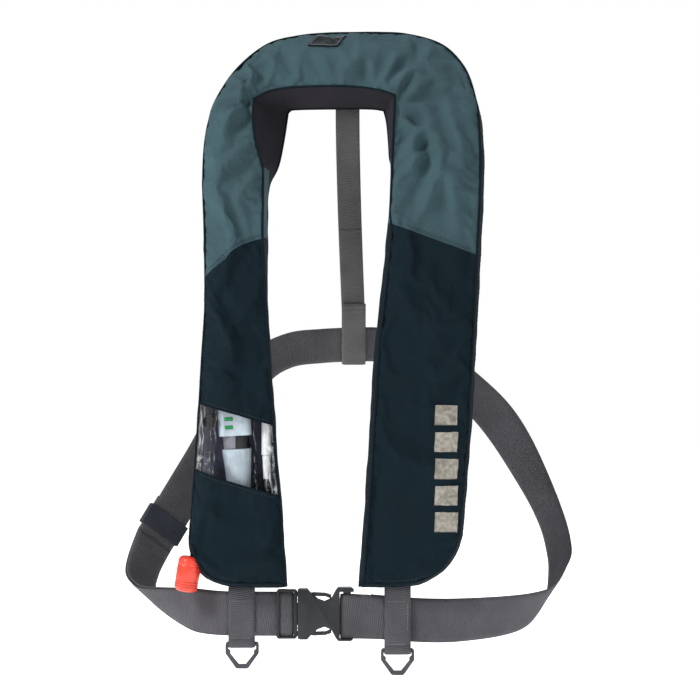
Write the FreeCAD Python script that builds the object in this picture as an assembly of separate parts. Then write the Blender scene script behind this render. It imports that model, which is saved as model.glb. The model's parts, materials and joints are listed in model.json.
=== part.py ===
import FreeCAD, Part
import math
import os

# Inflatable life jacket, millimetres. +X is the wearer's left, +Y points to the
# wearer's back, +Z is up. The origin is where the neck rests, under the collar.
V = FreeCAD.Vector

# ---- pouch ----
pouch_thick = 52.0          # folded pouch, front skin to back skin
fabric = 1.6                # cover fabric with its backing
bend_z = -90.0              # the pouch is upright below this height
bend_radius = 210.0         # curve over the shoulders, at mid-thickness
collar_lean = 33.0          # degrees the collar leans back
piping_thick = 3.2          # piping band round the edge

# ---- webbing ----
belt_width = 45.0
strap_width = 25.0
web = 2.0                   # webbing thickness
tab_gap = 2.8               # half the space between a tab's two layers

# ---- buckle ----
buckle_z = -512.0           # height of the buckle's middle

# ---- inflator, all inside the right lobe ----
head_x, head_y = -109.0, -5.0
head_top, head_low = -297.0, -330.0
band_low = -343.0
cap_low = -388.0
knob_x, knob_z = -135.0, -316.0
cylinder_r = 14.5
inflator_tilt = 3.5         # degrees

half = pouch_thick / 2
front_r = bend_radius + half
os.makedirs("parts", exist_ok=True)


# ---------------------------------------------------------------- helpers
def save(name, shape):
    shape.exportStep("parts/" + name + ".step")


def box(x0, x1, y0, y1, z0, z1):
    return Part.makeBox(x1 - x0, y1 - y0, z1 - z0, V(x0, y0, z0))


def rod(start, end, r):
    a, b = V(*start), V(*end)
    return Part.makeCylinder(r, (b - a).Length, a, b - a)


def cone(start, end, r0, r1):
    a, b = V(*start), V(*end)
    return Part.makeCone(r0, r1, (b - a).Length, a, b - a)


def plate_xz(points, y0, y1):
    """A flat plate with a straight-sided outline in X and Z."""
    corners = [V(x, y0, z) for x, z in points]
    wire = Part.makePolygon(corners + [corners[0]])
    return Part.Face(wire).extrude(V(0, y1 - y0, 0))


def rounded(shape, r, wanted=lambda e: True):
    return shape.makeFillet(r, [e for e in shape.Edges if wanted(e)])


def upright(edge):
    """True for a straight edge that runs along Z."""
    return abs(edge.tangentAt(edge.FirstParameter).z) > 0.999


def along_y(edge):
    return abs(edge.tangentAt(edge.FirstParameter).y) > 0.999


# ---------------------------------------------------------------- pouch shape
def lean_at(z):
    """How far the front skin leans back at height z, in degrees."""
    if z <= bend_z:
        return 0.0
    s = min((z - bend_z) / front_r, math.sin(math.radians(collar_lean)))
    return math.degrees(math.asin(s))


def front_y(z):
    """Depth of the front skin at height z."""
    t = math.radians(lean_at(z))
    arc_top = bend_z + front_r * math.sin(t)
    past = max(z - arc_top, 0) if t > 0 else 0
    return bend_radius - front_r * math.cos(t) + past * math.tan(t)


def through(x, z, back=None):
    """A point on the front skin and the point behind it on the back skin."""
    t = math.radians(lean_at(z))
    y = front_y(z)
    far = V(x, y + pouch_thick * math.cos(t), z - pouch_thick * math.sin(t))
    if back:
        far = V(back[0], far.y, back[1])
    return V(x, y, z), far


def at_depth(pair, y):
    """Where the line through a front and back point crosses depth y."""
    near, far = pair
    return near + (far - near) * ((y - near.y) / (far.y - near.y))


def curve_or_line(points):
    if len(points) == 2:
        return Part.LineSegment(points[0], points[1]).toShape()
    spline = Part.BSplineCurve()
    spline.interpolate(points)
    return spline.toShape()


def through_solid(stretches, y0, y1):
    """A solid between two depths, its sides square to the leaning pouch."""
    wires = []
    for y in (y0, y1):
        edges = [curve_or_line([at_depth(p, y) for p in s]) for s in stretches]
        wires.append(Part.Wire(edges))
    return Part.makeLoft(wires, True, True)


def outer_stretches(inset=0.0):
    """Outline of the whole pouch, seen from the front, as sewn stretches."""
    i = inset
    over = [(-142, -130), (-143, -60), (-137, -3), (-114, 51), (-79, 82), (-37, 92.5)]
    over += [(15, 94), (63, 91), (106, 74), (130.6, 40.5), (140.6, 1.3), (143, -60)]
    over += [(140, -137)]
    over = [through(x + (i if x < 0 else -i) * min(1, abs(x) / 90),
                    z - i * max(0, (z + 60) / 148)) for x, z in over]
    right = [through(-142 + i, -130), through(-141.4 + i, -190)]
    right += [through(-145 + i, -273), through(-152 + i, -370)]
    right += [through(-157 + i, -435)]
    corner_r = [through(-157 + i, -435), through(-146 + i * 0.7, -470 + i * 0.7)]
    corner_r += [through(-108 + i * 0.3, -484 + i)]
    base_r = [through(-108 + i * 0.3, -484 + i), through(-20, -484 + i)]
    base_l = [through(-20, -484 + i), through(60 - i * 0.3, -484 + i)]
    corner_l = [through(60 - i * 0.3, -484 + i)]
    corner_l += [through(96 - i * 0.6, -472 + i * 0.8)]
    corner_l += [through(121 - i, -432)]
    left = [through(121 - i, -432), through(132 - i, -290)]
    left += [through(137 - i, -200), through(140 - i, -137)]
    return [over, left[::-1], corner_l[::-1], base_l[::-1],
            base_r[::-1], corner_r[::-1], right[::-1]]


def opening_stretches(inset=0.0):
    """Outline of the neck and chest opening. An inset widens it."""
    i = inset
    right = [through(-54 - i, -520), through(-63 - i, -391)]
    right += [through(-73 - i, -250), through(-80 - i, -130, (-74 - i, -130))]
    right += [through(-79 - i, -73, (-75 - i, -83))]
    neck_r = [through(-79 - i, -73, (-75 - i, -83))]
    neck_r += [through(-87 - i, -36, (-68 - i, -50))]
    neck_r += [through(-91 - i, 14 + i, (-58 - i, 4.5 + i))]
    hem = [through(-91 - i, 14 + i, (-58 - i, 4.5 + i)), through(-62, 27 + i, (-52, 5.5 + i))]
    hem += [through(-20, 29 + i, (-16, 6.5 + i)), through(24, 27 + i, (22, 7 + i))]
    hem += [through(52 + i, 20 + i, (43 + i, 5.5 + i))]
    neck_l = [through(52 + i, 20 + i, (43 + i, 5.5 + i))]
    neck_l += [through(50 + i, -20, (48 + i, -40)), through(48 + i, -70, (48 + i, -83))]
    left = [through(48 + i, -70, (48 + i, -83)), through(45 + i, -118)]
    left += [through(32 + i, -240), through(29 + i, -290), through(13 + i, -520)]
    base = [through(13 + i, -520), through(-54 - i, -520)]
    return [right, neck_r, hem, neck_l, left, base]


def side_band(near, far):
    """Side profile of the pouch between two depths from its middle, across X."""
    t = math.radians(collar_lean)

    def edge(offset):
        r = bend_radius - offset
        start = V(-260, offset, -600)
        bend = V(-260, offset, bend_z)
        mid = V(-260, bend_radius - r * math.cos(t / 2), bend_z + r * math.sin(t / 2))
        end = V(-260, bend_radius - r * math.cos(t), bend_z + r * math.sin(t))
        top = end + V(0, math.sin(t), math.cos(t)) * 150
        return start, bend, mid, end, top

    a, b = edge(near), edge(far)
    sides = [Part.LineSegment(a[0], a[1]).toShape(), Part.Arc(a[1], a[2], a[3]).toShape(),
             Part.LineSegment(a[3], a[4]).toShape(), Part.LineSegment(a[4], b[4]).toShape(),
             Part.LineSegment(b[4], b[3]).toShape(), Part.Arc(b[3], b[2], b[1]).toShape(),
             Part.LineSegment(b[1], b[0]).toShape(), Part.LineSegment(b[0], a[0]).toShape()]
    return Part.Face(Part.Wire(sides)).extrude(V(520, 0, 0))


def pouch(inset, near, far):
    """The U-shaped pouch, drawn in by inset, between two depths."""
    body = through_solid(outer_stretches(inset), -90, 150)
    gap = through_solid(opening_stretches(inset), -91, 151)
    return body.cut(gap).common(side_band(near, far))


def biggest(shape):
    return max(shape.Solids, key=lambda s: s.Volume)


# ---------------------------------------------------------------- dividers
def upper_zone():
    """The region of the teal upper panel, down to the slanted colour seams."""
    points = [(-200, -190), (-140, -168), (-112, -142), (-84, -128.5), (-40, -128.5)]
    points += [(10, -108), (46, -114), (86, -126.5), (135, -146), (200, -172)]
    points += [(200, 200), (-200, 200)]
    return plate_xz(points, -100, 200)


def window_zone():
    return plate_xz([(-190, -283), (-40, -328), (-40, -397), (-190, -354)], -100, 0)


# ---------------------------------------------------------------- cover
handle_base = V(-160.5, -8, -488.4)  # lowest point of the pull handle
handle_axis = V(0.16, 0, 0.987)      # from there up along the handle
handle_len = 36.0
handle_r = 12.0


def handle_pocket():
    """The room the pull handle needs under the corner of the right lobe."""
    low = handle_base - handle_axis * 40
    return Part.makeCylinder(handle_r + 1.2, handle_len + 54, low, handle_axis)


def inflator_room():
    room = box(-160, -60, -25, 13, -410, -292)
    return room.fuse(box(-138, -90, -24.2, 13, -292.1, -140))


def lanyard_room():
    return box(-160, -138, -12, 3, -460, -296)


def build_pouch():
    outer = pouch(0, -half, half)
    skin = outer.cut(pouch(fabric, -half + fabric, half - fabric))
    walls = side_band(-half + fabric, half - fabric)
    neck = box(-95, 60, -60, 200, -60, 42)
    lining = skin.common(walls).common(neck)
    rest = skin.cut(lining).cut(handle_pocket())
    edge = side_band(-piping_thick / 2, piping_thick / 2)
    front = rest.common(side_band(-half - 1, -piping_thick / 2))
    back = rest.common(side_band(piping_thick / 2, half + 1))
    upper = upper_zone()
    teal = front.common(upper)
    navy = front.cut(upper)
    window = window_zone().common(pouch(3.0, -half - 1, -half + fabric))
    film = window.common(side_band(-half, -half + 0.5))
    navy = navy.cut(window)
    save("cover_front_upper", biggest(teal))
    save("cover_front_right", Part.makeCompound(big_solids(navy, 400, False)))
    save("cover_front_left", Part.makeCompound(big_solids(navy, 400, True)))
    save("window_film", biggest(film))
    save("neck_lining", biggest(lining))
    save("cover_back", biggest(back))
    save("edge_piping", biggest(rest.common(edge)))
    return lining


def build_zip():
    """Closure that bursts open along the outer edge, just inside the piping."""
    ring = through_solid(outer_stretches(fabric), -90, 150)
    ring = ring.cut(through_solid(outer_stretches(fabric + 3.0), -90.5, 150.5))
    ring = ring.cut(through_solid(opening_stretches(fabric), -91, 151))
    ring = ring.common(side_band(-piping_thick / 2, piping_thick / 2))
    save("closure_zip", biggest(ring.cut(handle_pocket())))


def big_solids(shape, least, left):
    """The solids over a volume, on the wearer's left or right side."""
    found = [s for s in shape.Solids if s.Volume > least]
    return [s for s in found if (s.CenterOfMass.x > -20) == left]


def build_bladder(lining):
    bag = pouch(fabric + 3.6, -half + fabric + 0.8, half - fabric - 0.8)
    bag = bag.cut(inflator_room()).cut(lanyard_room()).cut(handle_pocket())
    bag = bag.cut(box(66, 118, -16, 0, -452, -424))
    save("bladder", biggest(bag.cut(lining)))


def build_trims():
    badge = plate_xz([(-31, 82), (-1, 82), (-10, 69), (-39, 69)], -60, 60)
    save("collar_badge", badge.common(side_band(-half - 0.8, -half)))
    bars = []
    for n in range(5):
        z = -299 - n * 27
        bars.append(plate_xz([(93, z), (116, z), (115, z - 20), (92, z - 20)], -half - 0.4, -half))
    save("reflective_bars", Part.makeCompound(bars))


# ---------------------------------------------------------------- inflator
def tilted(shape):
    """Turn an inflator part with the inflator, whose top leans outward."""
    turned = shape.copy()
    turned.rotate(V(head_x, head_y, head_low), V(0, 1, 0), -inflator_tilt)
    return turned


def build_inflator():
    x, y = head_x, head_y
    head = box(x - 17, x + 16, y - 14, y + 14.2, head_low, head_top)
    head = rounded(head, 7, upright)
    seat = rod((x, y, head_top - 12), (x, y, head_top + 1), 8.0)
    head = head.cut(seat)
    for z in (-312.5, -321.0):
        head = head.cut(box(x - 10, x - 2, y - 15, y - 13, z - 1.6, z + 1.6))
    head = head.cut(rod((x, y, head_low - 1), (x, y, head_low + 6), 11.0))
    save("inflator_head", tilted(head))
    lights = [box(x - 10, x - 2, y - 14.6, y - 13, z - 1.6, z + 1.6) for z in (-312.5, -321.0)]
    save("status_indicators", tilted(Part.makeCompound(lights)))
    band = cone((x, y, band_low), (x, y, head_low), 13.0, 14.0)
    collar = rod((x, y, head_low), (x, y, head_low + 5.8), 10.8)
    band = band.fuse(collar).cut(rod((x, y, band_low - 1), (x, y, band_low + 9), 9.0))
    save("inflator_band", tilted(band))
    cap = cone((x, y, cap_low), (x, y, band_low - 0.4), 11.5, 15.0)
    cap = cap.fuse(rod((x, y, band_low - 0.5), (x, y, band_low + 8.4), 8.65))
    save("inflator_cap", tilted(cap))
    manifold = box(x - 33, x + 12, y + 14.5, y + 17.6, -340, -300)
    manifold = rounded(manifold, 4, along_y)
    stem = rod((knob_x, y - 8, knob_z), (knob_x, y + 15, knob_z), 4.0)
    manifold = manifold.fuse(stem)
    save("inflator_manifold", manifold)
    nut = rod((knob_x, y - 16, knob_z), (knob_x, y - 8.1, knob_z), 7.2)
    nut = rounded(nut, 1.6, lambda e: e.CenterOfMass.y < y - 15)
    save("manifold_nut", nut)


def build_cylinder():
    x, y = head_x, head_y
    body = rod((x, y, head_top + 22), (x, y, head_top + 128), cylinder_r)
    body = body.fuse(Part.makeSphere(cylinder_r, V(x, y, head_top + 128)))
    shoulder = cone((x, y, head_top + 12), (x, y, head_top + 22.01), 8.5, cylinder_r)
    neck = rod((x, y, head_top - 11.5), (x, y, head_top + 12.01), 7.7)
    save("gas_cylinder", tilted(body.fuse([shoulder, neck]).removeSplitter()))


def build_lever():
    y = head_y
    hub = rod((knob_x, y - 7.6, knob_z), (knob_x, y + 6, knob_z), 6.4)
    hub = hub.cut(rod((knob_x, y - 9, knob_z), (knob_x, y + 7, knob_z), 4.3))
    arm = box(knob_x - 9.4, knob_x - 5.2, y - 6, y + 2, knob_z - 2.8, knob_z + 2.8)
    lever = hub.fuse(arm)
    eye = rod((knob_x - 7.4, y - 7, knob_z), (knob_x - 7.4, y + 3, knob_z), 1.1)
    save("firing_lever", lever.cut(eye))


def cord(points, r):
    """A round cord: straight runs, each bend a tangent arc."""
    pts = [V(*p) for p in points]
    edges, start = [], pts[0]
    for before, corner, after in zip(pts, pts[1:], pts[2:]):
        a, b = (before - corner).normalize(), (after - corner).normalize()
        turn = math.pi - a.getAngle(b)
        run = min((before - corner).Length, (after - corner).Length)
        cut = 0.45 * run
        radius = cut / math.tan(turn / 2)
        middle = (a + b).normalize()
        deep = math.hypot(radius, cut) - radius
        p, q = corner + a * cut, corner + b * cut
        edges.append(Part.LineSegment(start, p).toShape())
        edges.append(Part.Arc(p, corner + middle * deep, q).toShape())
        start = q
    edges.append(Part.LineSegment(start, pts[-1]).toShape())
    path = Part.Wire(edges)
    ring = Part.Wire(Part.makeCircle(r, pts[0], pts[1] - pts[0]))
    return path.makePipeShell([ring], True, True)


def build_lanyard():
    """Cord from the lever's arm down the inside of the lobe to the handle."""
    top = (knob_x - 7.4, head_y - 2, knob_z - 3.1)
    low = handle_base + handle_axis * (handle_len - 1)
    route = [top, (-146, -7, -362), (-149, -8, -408), tuple(low)]
    save("pull_lanyard", cord(route, 1.0))


def build_handle():
    a = handle_base
    grip = Part.makeCylinder(handle_r, handle_len, a, handle_axis)
    grip = rounded(grip, 5.5, lambda e: e.Closed)
    for n in range(3):
        for d in (6 + n * 2.6, 27 + n * 2.6):
            ring = Part.makeTorus(handle_r + 0.5, 0.9, a + handle_axis * d, handle_axis)
            grip = grip.cut(ring)
    hole = Part.makeCylinder(1.15, 8, a + handle_axis * (handle_len - 6), handle_axis)
    save("pull_handle", biggest(grip.cut(hole)))


def build_oral_tube():
    x, y = -77.5, -10.0
    tube = cone((x, y, -374), (x, y, -350), 3.4, 4.6)
    tube = tube.fuse(rod((x, y, -350), (x, y, -330), 4.0))
    tube = tube.cut(rod((x, y, -349), (x, y, -329), 2.9))
    save("oral_tube", tube)
    cap = rod((x, y, -349.6), (x, y, -316), 5.3)
    cap = cap.cut(rod((x, y, -350), (x, y, -321), 4.35))
    save("oral_tube_cap", cap)
    valve = rod((x, y, -346), (x, y, -332), 2.5)
    save("oral_valve", valve)
    foot = rod((x, y, -374), (x, y, -384), 2.4)
    foot = foot.fuse(rod((x, y, -382), (x, 13, -382), 2.4))
    save("oral_tube_hose", foot)


def build_whistle():
    body = box(70, 114, -14, -2, -444, -430)
    body = rounded(body, 3, lambda e: abs(e.tangentAt(e.FirstParameter).x) > 0.99)
    body = body.cut(box(90, 96, -15, -8, -441, -433))
    save("whistle", body)


# ---------------------------------------------------------------- webbing
def frames_of(stations):
    """Square cross-directions for each centre and rough width direction."""
    out = []
    for n, (c, w) in enumerate(stations):
        ahead = V(*stations[min(n + 1, len(stations) - 1)][0])
        behind = V(*stations[max(n - 1, 0)][0])
        t = (ahead - behind).normalize()
        w = V(*w)
        w = (w - t * w.dot(t)).normalize()
        out.append((V(*c), w, t.cross(w).normalize()))
    return out


def smooth(stations, steps=3):
    """More stations between the given ones, on a Catmull-Rom curve."""
    pts = [(V(*c), V(*w).normalize()) for c, w in stations]
    out = []
    for n in range(len(pts) - 1):
        p0, p3 = pts[max(n - 1, 0)][0], pts[min(n + 2, len(pts) - 1)][0]
        (p1, w1), (p2, w2) = pts[n], pts[n + 1]
        for k in range(steps):
            t = k / steps
            bend = (p2 - p0) * t + (p0 * 2 - p1 * 5 + p2 * 4 - p3) * t ** 2
            bend = bend + (p1 * 3 - p0 - p2 * 3 + p3) * t ** 3
            out.append((tuple(p1 + bend * 0.5), tuple(w1 * (1 - t) + w2 * t)))
    return out + [stations[-1]]


def ribbon(frames, width, low, high):
    """Webbing through the frames, between two offsets from their middle."""
    wires = []
    for c, w, n in frames:
        a, b = w * (width / 2), n
        corners = [c + a + b * low, c + a + b * high, c - a + b * high, c - a + b * low]
        wires.append(Part.makePolygon(corners + [corners[0]]))
    return Part.makeLoft(wires, True, True)


# Waist belt from the socket round the wearer's left side to the back and on
# to the plug: the middle of the webbing and the direction of its width.
belt_left = [((26, 0, -514.5), (0, 0, 1)), ((60, 0, -517.5), (0, 0, 1)),
             ((90, 0, -519), (0, 0, 1)), ((119, 3, -519), (0, -0.1, 1)),
             ((160, 14, -517), (0, -0.33, 0.94)), ((191, 31, -513), (0.13, -0.5, 0.86)),
             ((211, 50, -504), (0.2, -0.75, 0.63)), ((225, 72, -484), (0.3, -0.87, 0.39)),
             ((230, 95, -456), (0.46, -0.88, 0.12)), ((217, 121, -407), (0.55, -0.8, 0.24))]
belt_rear = [((217, 121, -407), (0.55, -0.8, 0.24)), ((178, 146, -333), (0.7, -0.51, 0.5)),
             ((139, 158, -288), (0.64, -0.53, 0.56)), ((88, 167, -251), (0.35, -0.55, 0.76)),
             ((45, 171, -237.5), (0.05, -0.57, 0.82)), ((11, 172, -236.5), (0, -0.57, 0.82)),
             ((-24, 171, -238), (-0.05, -0.57, 0.82)), ((-60, 168, -243), (-0.12, -0.56, 0.82)),
             ((-92, 161, -262), (-0.35, -0.52, 0.75)), ((-122, 150, -306), (-0.6, -0.46, 0.66)),
             ((-151, 136, -360), (-0.7, -0.42, 0.57)), ((-181, 118, -411), (-0.7, -0.42, 0.57)),
             ((-197.1, 108.3, -438.5), (-0.7, -0.42, 0.57)), ((-202, 105.4, -446.7), (-0.7, -0.42, 0.57))]
belt_right = [((-202, 105.4, -446.7), (-0.7, -0.42, 0.57)), ((-211, 90, -469), (-0.65, -0.7, 0.3)),
              ((-213, 72, -486), (-0.5, -0.83, 0.25)), ((-205, 52, -498), (-0.3, -0.85, 0.42)),
              ((-187, 38, -504), (-0.15, -0.72, 0.66))]
belt_plug = [((-187, 38, -504), (-0.15, -0.72, 0.66)), ((-163, 23, -508.5), (-0.05, -0.40, 0.9)),
             ((-150, 15.6, -510.2), (-0.02, -0.12, 0.99)), ((-137, 8, -511.2), (0, 0, 1)),
             ((-126, 2.8, -511.5), (0, 0, 1)), ((-117, 0, -511.6), (0, 0, 1)),
             ((-98, 0, -511.8), (0, 0, 1)), ((-66, 0, -512), (0, 0, 1))]
per = 3                              # smoothed steps between two stations
all_stations = smooth(belt_left + belt_rear[1:] + belt_right[1:] + belt_plug[1:], per)
all_frames = frames_of(all_stations)
left_n = (len(belt_left) - 1) * per
rear_n = left_n + (len(belt_rear) - 1) * per
right_n = rear_n + (len(belt_right) - 1) * per
loop_n = left_n + 5 * per            # where the back strap holds the belt
keeper_centre = (-191.8, 111.5, -429.4)
tail_low, tail_high = 0.3, 2.3       # tail layer, outside the belt
main_low, main_high = -2.3, -0.3     # belt layer, against the wearer


def plate_xy(points, z0, z1):
    corners = [V(x, y, z0) for x, y in points]
    return Part.Face(Part.makePolygon(corners + [corners[0]])).extrude(V(0, 0, z1 - z0))


def both_layers(frames):
    return [ribbon(frames, belt_width, main_low, main_high),
            ribbon(frames, belt_width, tail_low, tail_high)]


def build_belt():
    """The one long strap: round the socket's bar, round the wearer, to the plug."""
    left = ribbon(all_frames[:left_n + 1], belt_width, main_low, main_high)
    around = [(-3.2, -3.6), (-1.5, -4.9), (9, -4.9), (26, -1.8), (50, -1.8), (50, 0.2)]
    around += [(26, 0.2), (26, 2.3), (9, 4.9), (-1.5, 4.9), (-3.2, 3.6)]
    inside = [(-1.2, -2.9), (9, -2.9), (20, -0.6), (20, 0.9), (9, 2.9), (-1.2, 2.9)]
    z0, z1 = -514.5 - belt_width / 2, -514.5 + belt_width / 2
    fold = plate_xy(around, z0, z1).cut(plate_xy(inside, z0 - 1, z1 + 1))
    save("belt_front_left", Part.makeCompound([left, fold]))
    save("belt_back", ribbon(all_frames[left_n:rear_n + 1], belt_width, main_low, main_high))
    save("belt_side_right", Part.makeCompound(both_layers(all_frames[rear_n:right_n + 1])))
    around = [(-66, -2.3), (-62.5, -4.6), (-52.5, -4.6), (-50.6, -2.5), (-50.6, 2.5)]
    around += [(-52.5, 4.6), (-62.5, 4.6), (-66, 2.3)]
    inside = [(-61, -2.6), (-53, -2.6), (-52.6, -2), (-52.6, 2), (-53, 2.6), (-61, 2.6)]
    z0, z1 = buckle_z - belt_width / 2, buckle_z + belt_width / 2
    turn = plate_xy(around, z0, z1).cut(plate_xy(inside, z0 - 1, z1 + 1))
    save("belt_front_right", Part.makeCompound(both_layers(all_frames[right_n:]) + [turn]))
    end = [(c + w * 0.8, w, n) for c, w, n in all_frames[rear_n - 2 * per:rear_n + 1]]
    save("belt_tail", ribbon(end, belt_width, tail_low, tail_high))


def build_keeper():
    """Elastic sleeve round both layers, on the straight run behind the hip."""
    across = (-0.7, -0.42, 0.57)
    run = [((-181, 118, -411), across), (keeper_centre, across), ((-202, 105.4, -446.7), across)]
    c, w, n = frames_of(run)[1]
    along = w.cross(n)
    outer = [(c - along * 11.5, w, n), (c + along * 11.5, w, n)]
    inner = [(c - along * 12.5, w, n), (c + along * 12.5, w, n)]
    sleeve = ribbon(outer, belt_width + 5.5, -4.2, 4.2)
    save("belt_keeper", sleeve.cut(ribbon(inner, belt_width + 3.2, -2.9, 2.9)))


def build_back_strap():
    """Strap sewn to the back of the collar, and its loop round the belt."""
    stations = [((4.5, 71.6, 32.4), (1, 0, 0)), ((4.5, 61.1, 16.2), (1, 0, 0)),
                ((4.5, 57.5, 3), (1, 0, 0)), ((4.6, 61, -12), (1, 0, 0)),
                ((5, 73, -38), (1, 0, 0)), ((6.5, 99, -95), (1, 0, 0)),
                ((8.5, 121.5, -150), (1, 0, 0)), ((10.5, 137.46, -189.27), (1, 0, 0)),
                ((10.8, 143.17, -197.48), (1, 0, 0))]
    strap = ribbon(frames_of(stations), strap_width, -web / 2, web / 2)
    save("back_strap", strap)
    c, up, out = all_frames[loop_n]
    span = belt_width / 2

    def block(front, rear, low, high, wide):
        """A block round the belt, in the belt's own directions."""
        corners = [c + up * high + out * front, c + up * high + out * rear,
                   c - up * low + out * rear, c - up * low + out * front]
        corners = [V(11 - wide, p.y, p.z) for p in corners]
        wire = Part.makePolygon(corners + [corners[0]])
        return Part.Face(wire).extrude(V(2 * wide, 0, 0))

    outer = block(-5.4, 2.6, span + 2.6, span + 26, strap_width / 2 + 0.5)
    inner = block(-3.6, 0.8, span + 0.8, span + 22, strap_width)
    save("back_strap_loop", biggest(outer.cut(inner)))


def build_tab(name, x, z_bar):
    """Webbing folded over the belt and round the bar of a D-ring."""
    w = 13.5
    g, t = tab_gap, 1.6
    z_top = -484.0
    shell = box(-w, w, -g - t, g + t, z_bar, z_top)
    shell = shell.fuse(rod((-w, 0, z_bar), (w, 0, z_bar), g + t))
    gap = box(-w - 1, w + 1, -g, g, z_bar, z_top - 2.4)
    gap = gap.fuse(rod((-w - 1, 0, z_bar), (w + 1, 0, z_bar), g))
    tab = shell.cut(gap)
    # a row of stitching closes the loop under the belt
    tab = tab.fuse(box(-w, w, -g - 0.01, g + 0.01, z_bar + 3.4, z_bar + 4.8))
    tab.translate(V(x, 0, 0))
    save(name, tab)


def build_ring(name, x, z_bar):
    """Moulded D-ring: straight bar in the tab, sides that narrow downward."""
    t = 2.3
    outer = [(-17, 2.5), (17, 2.5), (17, -9.5), (6, -25), (-6, -25), (-17, -9.5)]
    inner = [(-14.2, 6), (14.2, 6), (14.2, -5.2), (12, -7), (12, -10.2), (3.6, -20.6)]
    inner += [(-3.6, -20.6), (-12, -10.2), (-12, -7), (-14.2, -5.2)]
    ring = plate_xz(outer, -t, t)
    ring = rounded(ring, 3.5, along_y)
    hole = plate_xz([(a, b) for a, b in inner], -t - 1, t + 1)
    ring = ring.cut(hole)
    bar = rod((-15, 0, 0), (15, 0, 0), t)
    ring = ring.fuse(bar)
    ring.translate(V(x, 0, z_bar))
    save(name, ring)


# ---------------------------------------------------------------- buckle
def mirrored(points, z):
    """An outline given above the middle, closed with its mirror image below."""
    return [(x, z + d) for x, d in points] + [(x, z - d) for x, d in reversed(points)]


def build_socket():
    """Socket half: waisted so that the arms show and can be squeezed."""
    z, h = buckle_z, 7.0
    top = [(-46.2, 24.6), (-44, 25.6), (-36.5, 25.6), (-34, 22.5), (-26, 15.2), (-19, 12.6)]
    top += [(-12, 15.6), (-7.6, 24), (-5, 27.2), (8, 27.2), (11, 24.6)]
    shell = plate_xz(mirrored(top, z), -h, h)
    shell = shell.cut(box(-47, -9, -4.4, 4.4, z - 22.8, z + 22.8))
    shell = shell.cut(box(-3.5, 0, -h - 1, h + 1, z - 25.4, z + 22.8))
    shell = shell.cut(box(8, 12, -h - 1, h + 1, z - 25.4, z + 22.8))
    for y0, y1 in ((-h - 1, -2.5), (2.5, h + 1)):
        shell = shell.cut(box(-0.1, 8.1, y0, y1, z - 25.4, z + 22.8))
    save("buckle_socket", biggest(shell))


def build_plug():
    """Plug half: a frame that the belt turns round, and a guide tongue."""
    z = buckle_z
    frame = box(-68, -46.8, -5.4, 5.4, z - 25, z + 25)
    frame = rounded(frame, 3, along_y)
    frame = frame.cut(box(-65, -50.5, -6, 6, z - 22.9, z + 22.9))
    frame = frame.cut(plate_xy([(-69, -2.7), (-64, -4.4), (-64, 4.4), (-69, 2.7)],
                               z - 22.9, z + 22.9))
    bar = box(-60.5, -53.1, -2.1, 2.1, z - 23, z + 23)
    tongue = box(-47, -12, -3.2, 3.2, z - 4, z + 4)
    lips = [box(-47.5, -45.3, -3.9, 3.9, z + a, z + b) for a, b in ((-22.3, -17.9), (-11, 11), (17.9, 22.3))]
    save("buckle_plug", frame.fuse([bar, tongue] + lips))


def build_arm(name, side):
    """Sprung arm of the plug: it bows outward where the fingers squeeze it."""
    line = [(-44, 11.8), (-44, 16.8), (-40, 20.2), (-30, 22.0), (-18, 21.4), (-12, 19.4)]
    line += [(-12, 15.6), (-18, 18.0), (-30, 18.4), (-40, 15.8)]
    blade = plate_xz([(x, buckle_z + d * side) for x, d in line], -3.6, 3.6)
    z = buckle_z + 14.4 * side
    save(name, blade.fuse(rod((-44.2, -3.6, z), (-44.2, 3.6, z), 2.3)))


lining = build_pouch()
build_zip()
build_bladder(lining)
build_trims()
build_inflator()
build_cylinder()
build_lever()
build_lanyard()
build_handle()
build_oral_tube()
build_whistle()
build_belt()
build_keeper()
build_back_strap()
build_tab("tab_right", -103.5, -542.6)
build_tab("tab_left", 55.5, -549.4)
build_ring("d_ring_right", -103, -542.6)
build_ring("d_ring_left", 55.5, -549.4)
build_socket()
build_plug()
build_arm("buckle_arm_upper", 1)
build_arm("buckle_arm_lower", -1)
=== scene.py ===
import bpy
import bmesh
import json
import math
import numpy as np
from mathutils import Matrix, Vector, noise
from mathutils.bvhtree import BVHTree


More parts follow.
